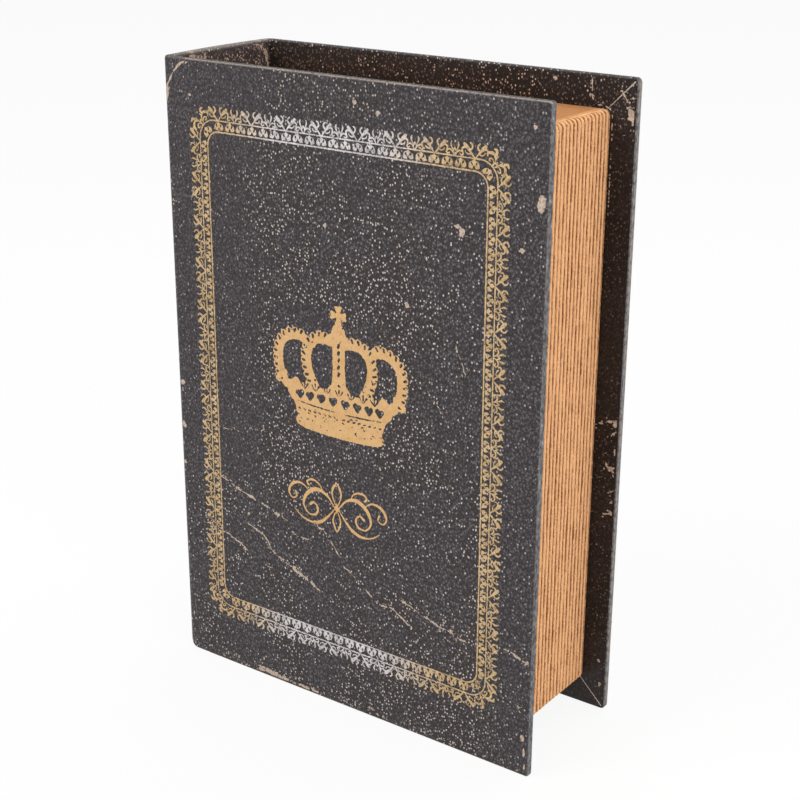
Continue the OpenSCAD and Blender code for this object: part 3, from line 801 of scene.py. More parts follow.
def crown_canvas():
    """A plain royal crown: jewelled band, five pearled arches and a cross on top."""
    canvas = Canvas(-42, 134, 40, 204, 0.16)
    mid = -1.2

    def both(points):
        """A line on the right of the crown's middle, and its mirror image."""
        return [np.asarray(points, float) * (way, 1) + (mid, 0) for way in (1, -1)]

    def both_strokes(points, radii, cut=True):
        for line in both(points):
            canvas.stroke(line, radii, cut)

    # Band, bowed below, and the flared rim over it
    left, right = both(bend([
        (0, 137.9), (12, 138.1), (20, 138.8), (24.2, 140.4), (24.8, 142.6), (23.8, 144.6),
        (24.6, 147.0), (25.8, 150.5), (28.6, 153.4), (30.2, 157.4), (31.8, 160.4),
        (27.5, 160.8), (24.5, 162.6), (21.5, 160.2), (19.0, 161.8), (15.2, 163.8),
        (11.8, 160.6), (7.4, 160.2), (4.0, 163.0), (0, 165.0)]))
    canvas.fill(np.concatenate([left, right[::-1]]))
    # Outer and inner arches, with pearls on their outer side
    for line, r in (
            ([(30.2, 158.5), (33.2, 164), (34.3, 171), (33.0, 177.5), (28.6, 181.6),
              (22.6, 182.8), (17.6, 181.0)], 2.3),
            ([(13.6, 160.5), (16.8, 166.5), (18.0, 173), (16.6, 179), (12.4, 183.0),
              (6.5, 183.6), (1.5, 182.6)], 2.35)):
        for p, way in zip(both(bend(line, 10)), (1, -1)):
            canvas.stroke(p, r)
            p, along, out, gone = follow_line(p)
            for t in np.arange(3.0, gone[-1] - 2.5, 3.05):
                at, n, a = [np.array([np.interp(t, gone, part[:, k]) for k in (0, 1)])
                            for part in (p, out * way, along)]
                canvas.stroke([at + n * 2.25 - a * 0.4, at + n * 2.25 + a * 0.4], 1.25)
                canvas.stroke([at + n * 1.4 - a * 0.2, at + n * 2.5 + a * 0.25], 0.62, cut=True)
    # Middle arch, seen end on
    canvas.stroke([(mid, 160), (mid, 171), (mid, 184)], (4.2, 3.4, 3.6))
    canvas.stroke([(mid, 184.5), (mid, 188.5), (mid, 191.5)], (5.2, 3.6, 1.8))
    for z in np.arange(168.6, 182.5, 3.3):
        canvas.stroke([(mid - 0.15, z - 0.45), (mid + 0.15, z + 0.45)], 0.72, cut=True)
    # Cross with flared arms
    centre = np.array([mid, 195.8])
    for a in (0, 90, 180, 270):
        canvas.fill(placed([(-0.9, 0), (-1.1, 1.6), (-2.1, 3.9), (-1.2, 4.5), (0, 4.2), (1.2, 4.5),
                            (2.1, 3.9), (1.1, 1.6), (0.9, 0)], centre, a))
    canvas.stroke([centre, centre + (0.01, 0)], 1.7)
    # Pierced hearts under the arches
    for x in (3.4, 10.1, 16.6, 22.4):
        both_strokes([(x - 0.9, 155.6), (x, 153.6), (x + 1.1, 155.4)], (1.5, 1.0, 1.35))
    # Engraved sprays between the hearts
    for x in (0.0, 6.8, 13.4, 19.6):
        for spray in ([(x, 157.8), (x, 161.2)], [(x - 0.6, 158.2), (x - 1.9, 160.3)],
                      [(x + 0.6, 158.2), (x + 1.9, 160.3)], [(x - 0.3, 162.8), (x + 0.2, 163.2)]):
            both_strokes(spray, (0.16, 0.52))
    # Leaf ends at the sides, and lines on the band
    both_strokes(bend([(31.0, 163.5), (33.4, 162.0), (35.4, 160.0), (34.6, 158.6)]),
                 (1.4, 1.5, 1.1, 0.5), cut=False)
    both_strokes([(3, 150.1), (13, 150.4), (23.6, 151.3)], (0.15, 0.42, 0.12))
    for x in np.arange(2.0, 22.5, 2.9):
        both_strokes([(x, 147.2 + x * 0.02), (x + 0.9, 147.6 + x * 0.02)], 0.4)
    # Worn specks on the band and the arches
    rng = np.random.default_rng(21)
    for _ in range(46):
        at = np.array([rng.uniform(-25, 23), rng.uniform(139.5, 149)])
        canvas.dash(at, rng.uniform(-0.8, 0.8, 2) * (1.2, 0.5), rng.uniform(0.1, 0.34), True)
    for _ in range(34):
        at = np.array([rng.uniform(-34, 32), rng.uniform(158, 198)])
        canvas.dash(at, rng.uniform(-0.7, 0.7, 2), rng.uniform(0.08, 0.3), True)
    return canvas.roughen((0.9, 22, 0.2), (0.5, 23, 0.12))


# One half of a penman's flourish, from its middle
FLOURISH = (
    ([(1.5, 0.5), (6, 5.4), (12, 6.6), (17.5, 3.0), (19.5, -2.6), (16.6, -6.6), (12.4, -6.2),
      (11.0, -2.8), (13.2, -0.4), (15.4, -1.6)],
     (0.25, 0.55, 1.05, 0.9, 0.5, 0.32, 0.55, 0.5, 0.4, 0.7)),
    ([(16.2, 5.0), (20.5, 7.6), (25.5, 6.4), (28.2, 2.2), (26.4, -1.0), (23.6, 0.2),
      (24.2, 2.6)], (0.2, 0.42, 0.8, 0.5, 0.34, 0.3, 0.55)),
    ([(1.2, -0.6), (5.0, -5.2), (9.2, -9.0), (14.5, -10.6), (20.5, -9.4), (25.0, -6.0)],
     (0.22, 0.5, 0.85, 0.6, 0.32, 0.12)),
    ([(0.8, 1.8), (2.6, 6.6), (1.6, 10.6), (0.0, 12.6)], (0.2, 0.42, 0.6, 0.16)),
    ([(0.8, -2.2), (2.2, -6.4), (1.2, -9.8), (0.0, -12.0)], (0.2, 0.38, 0.5, 0.14)),
    ([(8.0, 6.4), (10.2, 9.8), (14.4, 11.0), (17.2, 9.4), (16.2, 7.8)],
     (0.16, 0.34, 0.5, 0.4, 0.5)))


def flourish_canvas():
    """A penman's flourish without letters: mirrored scrolls about a lozenge."""
    canvas = Canvas(-36, 82, 30, 124, 0.16)
    mid = np.array([-3.2, 103.0])
    draw_pair(canvas, FLOURISH, mid, per=8)
    canvas.fill(mid + np.array([(0, 2.6), (1.5, 0), (0, -2.6), (-1.5, 0)]))
    return canvas.roughen((0.8, 31, 0.12), (0.5, 32, 0.08))


# Lines of the cracks in the front cover, and their widest radius, in millimetres
CRACKS = (
    ([(-75, 102.2), (-68, 99.4), (-62, 97), (-49.6, 94), (-41, 91.1), (-33, 89)], 0.6),
    ([(-85.8, 78.6), (-81.2, 76), (-72.9, 72.3), (-63.9, 69), (-58, 66)], 0.42),
    ([(-60, 81.7), (-53, 79), (-46.5, 75.9), (-42.9, 70.8), (-36, 67)], 0.38),
    ([(-35.5, 66.4), (-30, 64.8), (-26.5, 63.2), (-22, 61.8), (-18.6, 60.3), (-13, 57)], 0.78),
    ([(-30, 83), (-18, 82)], 0.2),
    ([(-15.6, 91.8), (-9.7, 88.3), (-5.1, 83), (-2.2, 79.2)], 0.38),
    ([(0, 75), (10, 69), (20, 61.5), (28, 61), (39, 55)], 0.44),
    ([(33, 67), (39.5, 65.2), (43, 64)], 0.3),
    ([(46, 63), (51.5, 61.3), (55, 60), (60, 59.6), (63.5, 58.2), (69, 57.2)], 0.46),
    ([(88, 60.4), (92.7, 59.8), (95.3, 58.6), (97.5, 57.8), (100, 57.2), (101.2, 58)], 0.42),
    ([(60, 196), (66, 182)], 0.24), ([(51, 168), (55, 160)], 0.22),
    ([(-74, 127), (-60, 127.5)], 0.18), ([(-54, 130.5), (-45, 131.5)], 0.18),
    ([(-88, 230), (-80, 252), (-77, 262)], 0.12), ([(96, 34), (101, 34.8)], 0.36),
    ([(-86, 298.3), (-85.2, 298.6), (-84.4, 298.8)], 0.6))
# Rubbed patches: middle and half size
PATCHES = (
    (-50, 3.0, 6.5, 1.3), (-42, 2.6, 6.5, 1.0), (-36, 2.0, 3.5, 0.7), (-20, 1.9, 5.5, 0.9),
    (-26, 2.1, 2.5, 0.6), (100.0, 260.3, 2.1, 2.6), (99.6, 258.6, 1.6, 1.6),
    (62.8, 243.3, 1.4, 1.7), (60.6, 245.2, 0.8, 0.8), (35.5, 207.5, 0.8, 1.2),
    (-8, 235.5, 0.7, 0.9), (91.5, 240, 0.8, 0.9), (99.4, 19, 0.8, 2.4), (100.4, 12, 0.5, 3.0),
    (100.9, 5, 0.4, 1.6), (-80.5, 55.5, 0.9, 0.8), (-57, 86, 0.7, 0.5),
    (95.5, 289.5, 0.7, 0.6), (8.5, 290.2, 0.8, 0.9),
    (20.5, 286.6, 0.7, 0.9), (-84, 284, 0.5, 0.5))


# The back of the box is worn in the same way
BACK_CRACKS = (
    ([(-62, 252), (-48, 246), (-36, 244), (-22, 239)], 0.4), ([(18, 32), (34, 41), (52, 46)], 0.5),
    ([(54, 47), (66, 49), (74, 54)], 0.3), ([(-70, 92), (-54, 86), (-42, 82)], 0.26),
    ([(58, 212), (66, 198), (70, 186)], 0.24), ([(-22, 152), (-8, 146), (0, 140)], 0.2),
    ([(84, 262), (92, 268), (99, 271)], 0.4), ([(-84, 24), (-76, 30)], 0.3))
BACK_PATCHES = (
    (98.6, 296.4, 1.9, 1.3), (99.8, 8, 1.0, 3.6), (62, 2.6, 6.0, 1.0), (50, 2.2, 4.0, 0.7),
    (-34, 2.2, 4.5, 0.8), (100.2, 122, 0.7, 2.4), (-12, 297.2, 3.4, 0.7), (30, 176, 0.7, 0.9),
    (-48, 204, 0.8, 0.7), (72, 98, 0.6, 0.8))
SPINE_CRACKS = (
    ([(-18, 297.6), (-21, 288), (-20, 281)], 0.4), ([(-52, 6), (-49, 17), (-50, 26)], 0.4),
    ([(-34, 205), (-29, 201), (-24, 200)], 0.24), ([(-58, 128), (-50, 124)], 0.2))
SPINE_PATCHES = (
    (-12, 297.4, 3.5, 0.6), (-42, 297.5, 5.0, 0.5), (-58, 2.7, 4.0, 0.8), (-20, 2.5, 6.0, 0.8),
    (-6.2, 8, 0.8, 3.0), (-62.5, 290, 0.8, 3.4), (-36, 92, 0.7, 0.8))


def frayed_line(canvas, line, widest, rng):
    """A crack: a jagged stroke that swells and breaks, with crumbs beside it."""
    path = bend(line, 14)
    count = len(path)
    gone = np.linspace(0, 1, count)
    jag = path + np.stack([wander(count, 0.16, rng.integers(1000), 2),
                           wander(count, 0.26, rng.integers(1000), 2)], 1)
    width = widest * (0.55 + wander(count, 0.42, rng.integers(1000), 3))
    width = np.clip(width, -0.1, widest)
    width *= np.sqrt(np.clip(np.minimum(gone, 1 - gone) * 6, 0, 1)) + 0.1
    canvas.stroke(jag, width)
    for _ in range(count // 4):
        at = path[rng.integers(count)] + rng.normal(0, 1.1, 2)
        canvas.dash(at, rng.normal(0, 0.45, 2), rng.uniform(0.1, 0.3))


def rubbed_patch(canvas, patch, rng):
    """A patch of torn print with a ragged edge."""
    middle, half = np.array(patch[:2]), np.array(patch[2:])
    for _ in range(16):
        turn, far = rng.uniform(0, 2 * math.pi), math.sqrt(rng.uniform(0, 1))
        at = middle + half * far * 0.8 * (math.cos(turn), math.sin(turn))
        canvas.dash(at, rng.normal(0, 1, 2) * half * 0.2,
                    rng.uniform(0.25, 0.5) * min(half) + 0.12)


def worn(canvas, cracks, patches, rng):
    """Paints cracks, then rubbed patches."""
    for line, widest in cracks:
        frayed_line(canvas, line, widest, rng)
    for patch in patches:
        rubbed_patch(canvas, patch, rng)


def wear_canvas(low, high, cracks, patches, specks, seed):
    """Cracks and rubbed patches, where the paper under the print shows, with specks along the
    tail edge."""
    canvas = Canvas(low, 1.2, high, 298.8, 0.2)
    rng = np.random.default_rng(seed)
    worn(canvas, cracks, patches, rng)
    for _ in range(specks):
        at = np.array([rng.uniform(low + 5, high - 1.5), 1.6 + abs(rng.normal(0, 2.0))])
        canvas.dash(at, rng.normal(0, 0.35, 2), rng.uniform(0.1, 0.3))
    return canvas.roughen((0.8, seed + 1, 0.2), (0.45, seed + 2, 0.1))


def joint_wear_canvas():
    """The rubbed fold at the head of the front joint, by distance from the bend's middle."""
    canvas = Canvas(-3.5, 100, 12.9, 298.7, 0.12)
    rng = np.random.default_rng(61)
    for line, radii in (
            ([(12.7, 298.2), (11.0, 297.8), (9.2, 296.4), (7.2, 294.6), (5.6, 293.0),
              (3.8, 290.2), (2.6, 287.6)], (0.3, 0.5, 0.6, 0.32, 0.24, 0.36, 0.3)),
            ([(1.9, 287.4), (1.4, 285.5), (1.0, 283.0), (0.6, 281.0), (0.3, 278.5)],
             (0.4, 1.1, 1.35, 1.0, 0.2))):
        path = bend(line, 10)
        canvas.stroke(path + np.stack([wander(len(path), 0.14, rng.integers(1000), 2)] * 2, 1),
                      radii)
    worn(canvas, (), ((2.6, 145, 1.3, 1.2), (2.2, 123, 1.2, 1.2), (1.8, 103.4, 0.9, 0.9),
                      (1.4, 113, 0.4, 0.9)), rng)
    for _ in range(30):
        at = np.array([rng.uniform(0.2, 3.2), 280 - abs(rng.normal(0, 70))])
        if at[1] > 102:
            canvas.dash(at, rng.normal(0, 1, 2) * (0.2, 0.7), rng.uniform(0.1, 0.26))
    return canvas.roughen((0.7, 62, 0.25))


def back_wear_canvas():
    """Wear on the back cover's inner face: its head corner, and a pale broken line round the
    page block's head corner and down its fore-edge."""
    canvas = Canvas(-90, 1.2, 101.6, 298.9, 0.2)
    rng = np.random.default_rng(71)
    corner = bend([(84.0, 287.2), (87.8, 286.9), (90.4, 285.2), (91.2, 282.0), (91.0, 277.0)])
    for a, b in ((0, 5), (6, 13), (15, 19), (20, 25)):
        canvas.stroke(corner[a:b], (0.08, 0.26, 0.2, 0.1))
    for z in np.arange(275.5, 240, -1.7):
        canvas.stroke([(91.3, z), (91.4, z - rng.uniform(0.3, 1.1))], rng.uniform(0.05, 0.26))
    worn(canvas, (([(80.8, 298.4), (81.0, 293.2), (81.3, 289.8)], 0.34),
                  ([(94.5, 294.4), (97.0, 291.6), (99.4, 288.8)], 0.26),
                  ([(97.8, 289.6), (100.8, 292.0)], 0.2), ([(98.4, 287.6), (101.0, 287.0)], 0.24),
                  ([(89.5, 143.6), (93.6, 145.4), (97.2, 147), (101.3, 148)], 0.36),
                  ([(98.6, 140.2), (101.2, 142.8)], 0.3),
                  ([(96.4, 125.6), (98.1, 124.4), (99.8, 123.9), (101.3, 122.4)], 0.46),
                  ([(99.4, 124.0), (101.3, 125.4)], 0.34), ([(99.2, 113.1), (101.3, 113.9)], 0.3),
                  ([(99.8, 107.3), (101.3, 108.9)], 0.3),
                  ([(95.8, 101.4), (99.4, 102), (101.3, 103)], 0.36)),
         ((100.2, 284.2, 1.5, 2.0), (99.4, 285.6, 1.0, 1.2), (100.9, 281.6, 0.6, 1.6),
          (98.5, 25.5, 0.5, 0.7), (99.6, 13.0, 0.5, 1.1), (63, 296.4, 0.7, 0.8),
          (100.4, 145.8, 0.9, 1.3), (100.6, 102.6, 0.7, 0.7), (100.9, 133, 0.3, 1.6)), rng)
    # Short scratches down the fore-edge margin
    for _ in range(70):
        at = np.array([rng.uniform(92.5, 100.6), rng.uniform(4, 296)])
        run = rng.uniform(0.5, 2.6)
        canvas.dash(at, (run, run * rng.uniform(0.3, 1.2)), (0.03, 0.13, 0.02))
    return canvas.roughen((0.7, 72, 0.14))


def spine_wear_canvas():
    """Wear inside the spine's head: streaks, and the curved fold at the back joint."""
    canvas = Canvas(-32, 280, 33.6, 298.8, 0.15)
    rng = np.random.default_rng(81)
    for y, low, high, fat in ((-20.5, 295.6, 298.7, 1.1), (-21.6, 297.9, 298.7, 0.9),
                              (-16.8, 294.8, 297.6, 0.45), (-14.9, 295.6, 298.0, 0.2),
                              (-12.6, 294.4, 297.9, 0.5)):
        frayed_line(canvas, [(y, high), (y + 0.3, (low + high) / 2), (y - 0.1, low)], fat, rng)
    frayed_line(canvas, [(21.5, 298.5), (24.6, 298.3), (27.6, 297.0)], 0.42, rng)
    frayed_line(canvas, [(32.4, 287.6), (33.0, 286.8), (33.4, 286.5)], 0.5, rng)
    # The fold at the back joint is a chain of crumbs
    for at in bend([(27.6, 297.0), (30.4, 294.2), (31.8, 291.0), (32.6, 287.6)], 16):
        for _ in range(2):
            p = at + rng.normal(0, 0.5, 2)
            canvas.dash(p, rng.normal(0, 0.3, 2), rng.uniform(0.08, 0.32))
    # Rubbed pebbles, most of them near the back joint
    for _ in range(170):
        at = np.array([30 - abs(rng.normal(0, 24)), rng.uniform(281, 298)])
        if at[0] > -21:
            canvas.dash(at, rng.normal(0, 0.2, 2), rng.uniform(0.14, 0.34))
    return canvas.roughen((0.7, 82, 0.16))


# ---------------------------------------------------------------- materials
# What a node's mode is called, and which of a mix's sockets take its share and values
MODES = {"Attribute": "attribute_name", "MapRange": "interpolation_type", "Math": "operation",
         "Mix": "data_type", "VectorMath": "operation"}
MIX_INPUTS = {"FLOAT": (0, 2, 3), "RGBA": (0, 6, 7)}
MIX_OUTPUT = {"FLOAT": 0, "RGBA": 2}
# The kinds that come back most
RAMP, EASE, LAYER = "MapRange LINEAR", "MapRange SMOOTHSTEP", "Mix RGBA"
TIMES, TIMES_PLUS = "Math MULTIPLY", "Math MULTIPLY_ADD"


def add(tree, kind, *inputs, out=0, **named):
    """Adds a shader node and returns one of its outputs. The kind may end with the node's mode.
    Each input is a value or another node's output, given in order or by its name."""
    kind, _, mode = kind.partition(" ")
    made = tree.nodes.new("ShaderNode" + kind)
    if mode:
        setattr(made, MODES[kind], mode)
    keys = MIX_INPUTS[mode] if kind == "Mix" else range(len(inputs))
    for key, value in [*zip(keys, inputs), *named.items()]:
        if isinstance(value, bpy.types.NodeSocket):
            tree.links.new(value, made.inputs[key])
        else:
            made.inputs[key].default_value = value
    return made.outputs[MIX_OUTPUT[mode] if kind == "Mix" else out]


def begin(name, roughness, specular=0.3, metallic=0.0, ior=1.5):
    """A material with its shader's plain values: the material, its shader and its add."""
    made = bpy.data.materials.new(name)
    made.use_nodes = True
    shader = made.node_tree.nodes["Principled BSDF"]
    shader.inputs["Roughness"].default_value = roughness
    shader.inputs["Metallic"].default_value = metallic
    if not metallic:
        shader.inputs["IOR"].default_value = ior
        shader.inputs["Specular IOR Level"].default_value = specular
    return made, shader, functools.partial(add, made.node_tree)


def finish(made, shader, tone, height, lift):
    """Gives a material its colour and its relief, whose height is in millimetres."""
    links = made.node_tree.links
    links.new(tone, shader.inputs["Base Color"])
    links.new(add(made.node_tree, "Bump", Strength=0.5, Distance=lift * MM, Height=height),
              shader.inputs["Normal"])
    return made


# Calendered grain of the leatherette: pebbles about 1.3 mm apart and a little taller than
# wide, and fine print grain about 0.5 mm wide and 1 mm tall
PEBBLE = (1.25, 1.25, 1.55)
PRINT_GRAIN = (0.5, 0.5, 0.9)
# The front cover's outer side lies at lower y than this, in millimetres
FRONT_SIDE_Y = -33.0


def leatherette(name, cool, warm, low, high, flecks, margin_share):
    """Leatherette: paper printed and calendered with a leather grain, waxed to a soft sheen. It
    gives the eye fine pebbles with pale rubbed tops, cloudy patches, head and tail edges pale
    from rubbed wear and painted highlight, and fore-edges with a painted sheen.
    The flecks have two tones; margin_share is how strong they are away from the head."""
    c = colours()
    made, shader, node = begin(name, 0.52, 0.28)
    place = node("Attribute rest_place", out="Vector")
    arris, edge = [node("Attribute " + mark, out="Fac") for mark in ("arris", "edge")]
    axes = node("SeparateXYZ", place).node.outputs
    cells = node("TexVoronoi", Vector=node("VectorMath DIVIDE", place, PEBBLE),
                 Scale=1.0).node.outputs
    far = cells["Distance"]
    chance = node("SeparateColor", cells["Color"]).node.outputs
    # Clouds 50 mm and 13 mm across, where more of the pebbles are rubbed, the print's grain,
    # and the mottle of the fore-edges
    cloud, patch, grain, mottle = [
        node("TexNoise", Vector=node("VectorMath DIVIDE", place, size), Scale=1.0,
             Detail=detail, Roughness=rough)
        for size, detail, rough in (((46.0, 46.0, 62.0), 1.5, 0.5), ((12.0, 12.0, 14.0), 2.5, 0.5),
                                    (PRINT_GRAIN, 3.0, 0.7), ((1.6, 1.6, 2.6), 4.0, 0.7))]
    rubbed = node(TIMES_PLUS, patch, 0.45, node(TIMES, cloud, 0.55))
    rubbed = node(EASE, rubbed, 0.44, 0.58)
    # The joint and the fore-edge margins are calmer
    front = node("Math LESS_THAN", axes[1], FRONT_SIDE_Y)
    aside = node(TIMES, node("Math ABSOLUTE", axes[0]), front)
    rubbed = node(TIMES, rubbed, node(EASE, aside, 82.0, 93.0, 1.0, 0.3))
    # The front's left quarter and its margins were handled least: few pebbles are rubbed there
    left = node(EASE, axes[0], -58.0, -38.0, 1.0, 0.0)
    above = node(EASE, axes[2], 92.0, 114.0)
    quiet = node(TIMES, node(TIMES, left, above), front)
    for axis, start, end, weight in ((axes[2], 266.0, 280.0, 0.4), (axes[0], 75.0, 83.0, 0.5)):
        margin = node(TIMES, node(EASE, axis, start, end), front)
        quiet = node(TIMES_PLUS, margin, weight, quiet)
    quiet = node(RAMP, quiet, 0.0, 1.0, 1.0, 0.15)
    rubbed = node(TIMES, rubbed, quiet)
    # Ground: clouds of cool and warm, dark hollows, and the print's grain
    tone = node(LAYER, rubbed, cool, warm)
    for pattern, start, end, least, most, over in (
            (far, 0.32, 0.72, 0.0, 0.85, low), (grain, 0.32, 0.56, 0.55, 0.0, low),
            (grain, 0.50, 0.74, 0.0, 0.62, high)):
        tone = node(LAYER, node(EASE, pattern, start, end, least, most), tone, over)
    # Flecks: the rubbed tops of some pebbles
    top = node(EASE, node(TIMES_PLUS, grain, 0.22, far), 0.32, 0.47, 1.0, 0.0)
    bright = node("Math LESS_THAN", chance[0], node(TIMES_PLUS, rubbed, 0.55, 0.12))
    weak = node(RAMP, chance[1], 0.0, 1.0, 0.03, 0.30)
    strong = node(RAMP, chance[1], 0.0, 1.0, 0.5, 1.15)
    fleck = node(TIMES, top, node("Mix FLOAT", bright, weak, strong))
    for share in (node(EASE, axes[2], 268.0, 288.0, margin_share, 1.0),
                  node(RAMP, quiet, 0.0, 1.0, 0.45, 1.0),
                  node(RAMP, edge, 0.0, 1.0, 1.0, 0.2)):
        fleck = node(TIMES, fleck, share)
    tone = node(LAYER, fleck, tone, node(LAYER, chance[2], *flecks))
    # Fore-edge: painted sheen, a cool pale band where the edge faces the light, with dark mottle
    # and pale chips of painted highlight
    painted_sheen_band = node(LAYER, node(EASE, mottle, 0.36, 0.62), c.edge_low, c.edge_painted_sheen)
    painted_sheen_band = node(LAYER, node(EASE, mottle, 0.62, 0.70, 0.0, 0.7), painted_sheen_band, c.fleck_pale)
    tone = node(LAYER, node(EASE, edge, 0.1, 0.9, 0.0, 0.9), tone, painted_sheen_band)
    # Head and tail arrises get a thin broken pale line: partly rubbed wear, partly painted
    # highlight where the rounded edges face the light
    broken = node(EASE, mottle, 0.34, 0.52, 0.25, 0.95)
    tone = node(LAYER, node(TIMES, arris, broken), tone, c.arris_wear_and_highlight)
    raised = node(EASE, far, 0.1, 0.7, 1.0, 0.0)
    raised = node(TIMES_PLUS, grain, 0.6, raised)
    return finish(made, shader, tone, raised, 0.12)


def ridged_page_board():
    """Page board: brown fibreboard milled into ridges and stained amber, matt. It gives the eye
    uneven pale ridges, grooves darkened by their depth as painted shade, short fibres along
    them, and head and tail faces in a darker tone that is painted shade too."""
    c = colours()
    made, shader, node = begin("ridged_page_board", 0.95, 0.1, ior=1.45)
    place = node("Attribute rest_place", out="Vector")
    ridge, pressed = [node("Attribute " + mark, out="Fac") for mark in ("ridge", "pressed")]
    # Fibres about 0.4 mm wide and 4 mm long, flecks of 1 mm and mottle of 6 mm
    fibre, speck, mottle = [
        node("TexNoise", Vector=node("VectorMath DIVIDE", place, size), Scale=1.0,
             Detail=detail, Roughness=rough)
        for size, detail, rough in (((2.0, 0.4, 4.0), 4.0, 0.7), ((1.0, 0.7, 1.0), 3.0, 0.7),
                                    ((6.0, 3.0, 9.0), 2.0, 0.5))]
    share = ridge
    for pattern, weight in ((fibre, 1.3), (speck, 1.2), (mottle, 0.6)):
        share = node(TIMES_PLUS, pattern, weight, share)
    # Colour darkens from the ridge tops to the grooves' bottom: painted shade
    depth_shaded_tone = node(LAYER, node(EASE, share, 1.62, 2.66), c.groove_brown_and_shade, c.ridge)
    # Head and tail faces take the darker pressed tone, mottled with groove brown: painted shade on
    # those faces
    share = node(RAMP, node("Math ADD", fibre, speck), 0.75, 1.2, 0.62, 1.0)
    tone = node(LAYER, pressed, depth_shaded_tone, node(LAYER, share, c.groove_brown_and_shade, c.pressed))
    return finish(made, shader, tone, fibre, 0.25)


def printing_ink(name, full, thin, ends=()):
    """Gold-coloured printing ink on leatherette: opaque, with the grain showing through, a soft
    sheen and small losses over the hollows. The border's ink turns to silver in the middle of
    the head and the tail, where ends gives its full and thin tones."""
    made, shader, node = begin(name, 0.5, 0.3)
    place = node("Attribute rest_place", out="Vector")
    far = node("TexVoronoi", Vector=node("VectorMath DIVIDE", place, PEBBLE), Scale=1.0)
    grain, patch = [
        node("TexNoise", Vector=node("VectorMath DIVIDE", place, size), Scale=1.0,
             Detail=detail, Roughness=rough)
        for size, detail, rough in ((PRINT_GRAIN, 3.0, 0.7), ((5.0, 5.0, 5.0), 2.0, 0.5))]
    if ends:
        axes = node("SeparateXYZ", place).node.outputs
        side = node("Math ABSOLUTE", node("Math ADD", axes[0], 6.0))
        side = node(TIMES_PLUS, patch, 20.0, side)
        side = node(EASE, side, 34.0, 72.0, 1.0, 0.0)
        end = node("Math ABSOLUTE", node("Math SUBTRACT", axes[2], 152.8))
        end = node(EASE, end, 100.0, 112.0)
        silver = node(TIMES, side, end)
        full, thin = [node(LAYER, silver, *tones) for tones in zip((full, thin), ends)]
    share = node(TIMES_PLUS, grain, 0.9, node(TIMES, patch, 0.4))
    tone = node(LAYER, node(EASE, share, 0.46, 0.76), thin, full)
    loss = node(EASE, far, 0.55, 0.85, 0.0, 0.4 if ends else 0.15)
    tone = node(LAYER, loss, tone, colours().charcoal)
    raised = node(EASE, far, 0.1, 0.7, 1.0, 0.0)
    raised = node(TIMES_PLUS, grain, 0.6, raised)
    return finish(made, shader, tone, raised, 0.1)


def fine_grained(name, tone, tone_low, grain_mm, roughness, lift_mm=0.1, **plain):
    """A sheet or small part with two tones in a fine grain of the given size."""
    made, shader, node = begin(name, roughness, **plain)
    grain = node("VectorMath DIVIDE", node("TexCoord", out="Object"),
                 tuple(v * MM for v in grain_mm))
    fine = node("TexNoise", Vector=grain, Scale=1.0, Detail=4.0, Roughness=0.6)
    share = node(EASE, fine, 0.3, 0.7)
    return finish(made, shader, node(LAYER, share, tone_low, tone), fine, lift_mm)


# A plated metal part, smooth but for its fine relief
PLATED = {"lift_mm": 0.01, "metallic": 1.0}


def covering():
    """The covering's materials, made once: outer face, turned-in flaps and cut paper edge."""
    names = ("leatherette_outer", "leatherette_turned_in_and_shade", "cut_paper_edge")
    if names[0] not in bpy.data.materials:
        c = colours()
        leatherette(names[0], c.charcoal, c.charcoal_warm, c.charcoal_low, c.charcoal_high,
                    (c.fleck, c.fleck_pale), 1.0)
        # Turned-in leatherette: a darker, browner copy of the outer one, partly its own tone and
        # partly painted shade
        leatherette(names[1], c.brown_black_and_shade, c.brown_low, c.brown_low, c.brown_high,
                    (c.fleck_brown, c.fleck), 0.2)
        # Cut edge of the covering paper: pale raw fibres
        fine_grained(names[2], c.slit, c.slit_low, (0.5, 0.5, 0.5), 0.8)
    return [bpy.data.materials[name] for name in names]


def worn_paper():
    """Paper under the print where it is rubbed through: matt, pale tan and a little soiled."""
    c = colours()
    return (bpy.data.materials.get("rubbed_through_paper")
            or fine_grained("rubbed_through_paper", c.tan, c.tan_low, (0.8, 0.8, 0.8), 0.85))


# ---------------------------------------------------------------- operators
def bend_with_joint(obj):
    """Bakes the placement of a piece that crosses the front joint into its mesh."""
    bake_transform(obj)


class BuildCovers(bpy.types.Operator):
    """Leatherette round the front and back cover boards"""
    bl_idname = "book_box.covers"
    bl_label = "Covers"

    def execute(self, context):
        front = cover_skin("front_cover_leatherette", FRONT_LOW[0], FRONT_LOW[1], 1, 1.0,
                           covering())
        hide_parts("front_wrap")
        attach(front, FRONT)
        back = cover_skin("back_cover_leatherette", BACK_LOW[0], BACK_HIGH[1], -1, 0.5,
                          covering())
        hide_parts("back_wrap")
        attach(back, CASE)
        return {"FINISHED"}


class BuildSpine(bpy.types.Operator):
    """Leatherette round the spine and over the joints"""
    bl_idname = "book_box.spine"
    bl_label = "Spine and joints"

    def execute(self, context):
        c = colours()
        spine = spine_skin(covering()[:1])
        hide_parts("spine_wrap", "back_joint")
        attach(spine, CASE)
        joint = joint_skin(covering()[:2])
        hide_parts("front_joint")
        # Book cloth: black filled cotton, matt, with a fine thread
        cloth = joint_cloth([fine_grained("book_cloth_black", c.cloth, c.cloth_low,
                                          (0.4, 0.4, 0.4), 0.85)])
        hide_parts("joint_cloth")
        for obj in (joint, cloth):
            bend_with_joint(obj)
        return {"FINISHED"}


class BuildPages(bpy.types.Operator):
    """Ridged walls that stand for the page edges"""
    bl_idname = "book_box.pages"
    bl_label = "Page walls"

    def execute(self, context):
        walls = page_walls([ridged_page_board()])
        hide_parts("head_wall", "tail_wall", "fore_edge_wall")
        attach(walls, CASE)
        return {"FINISHED"}


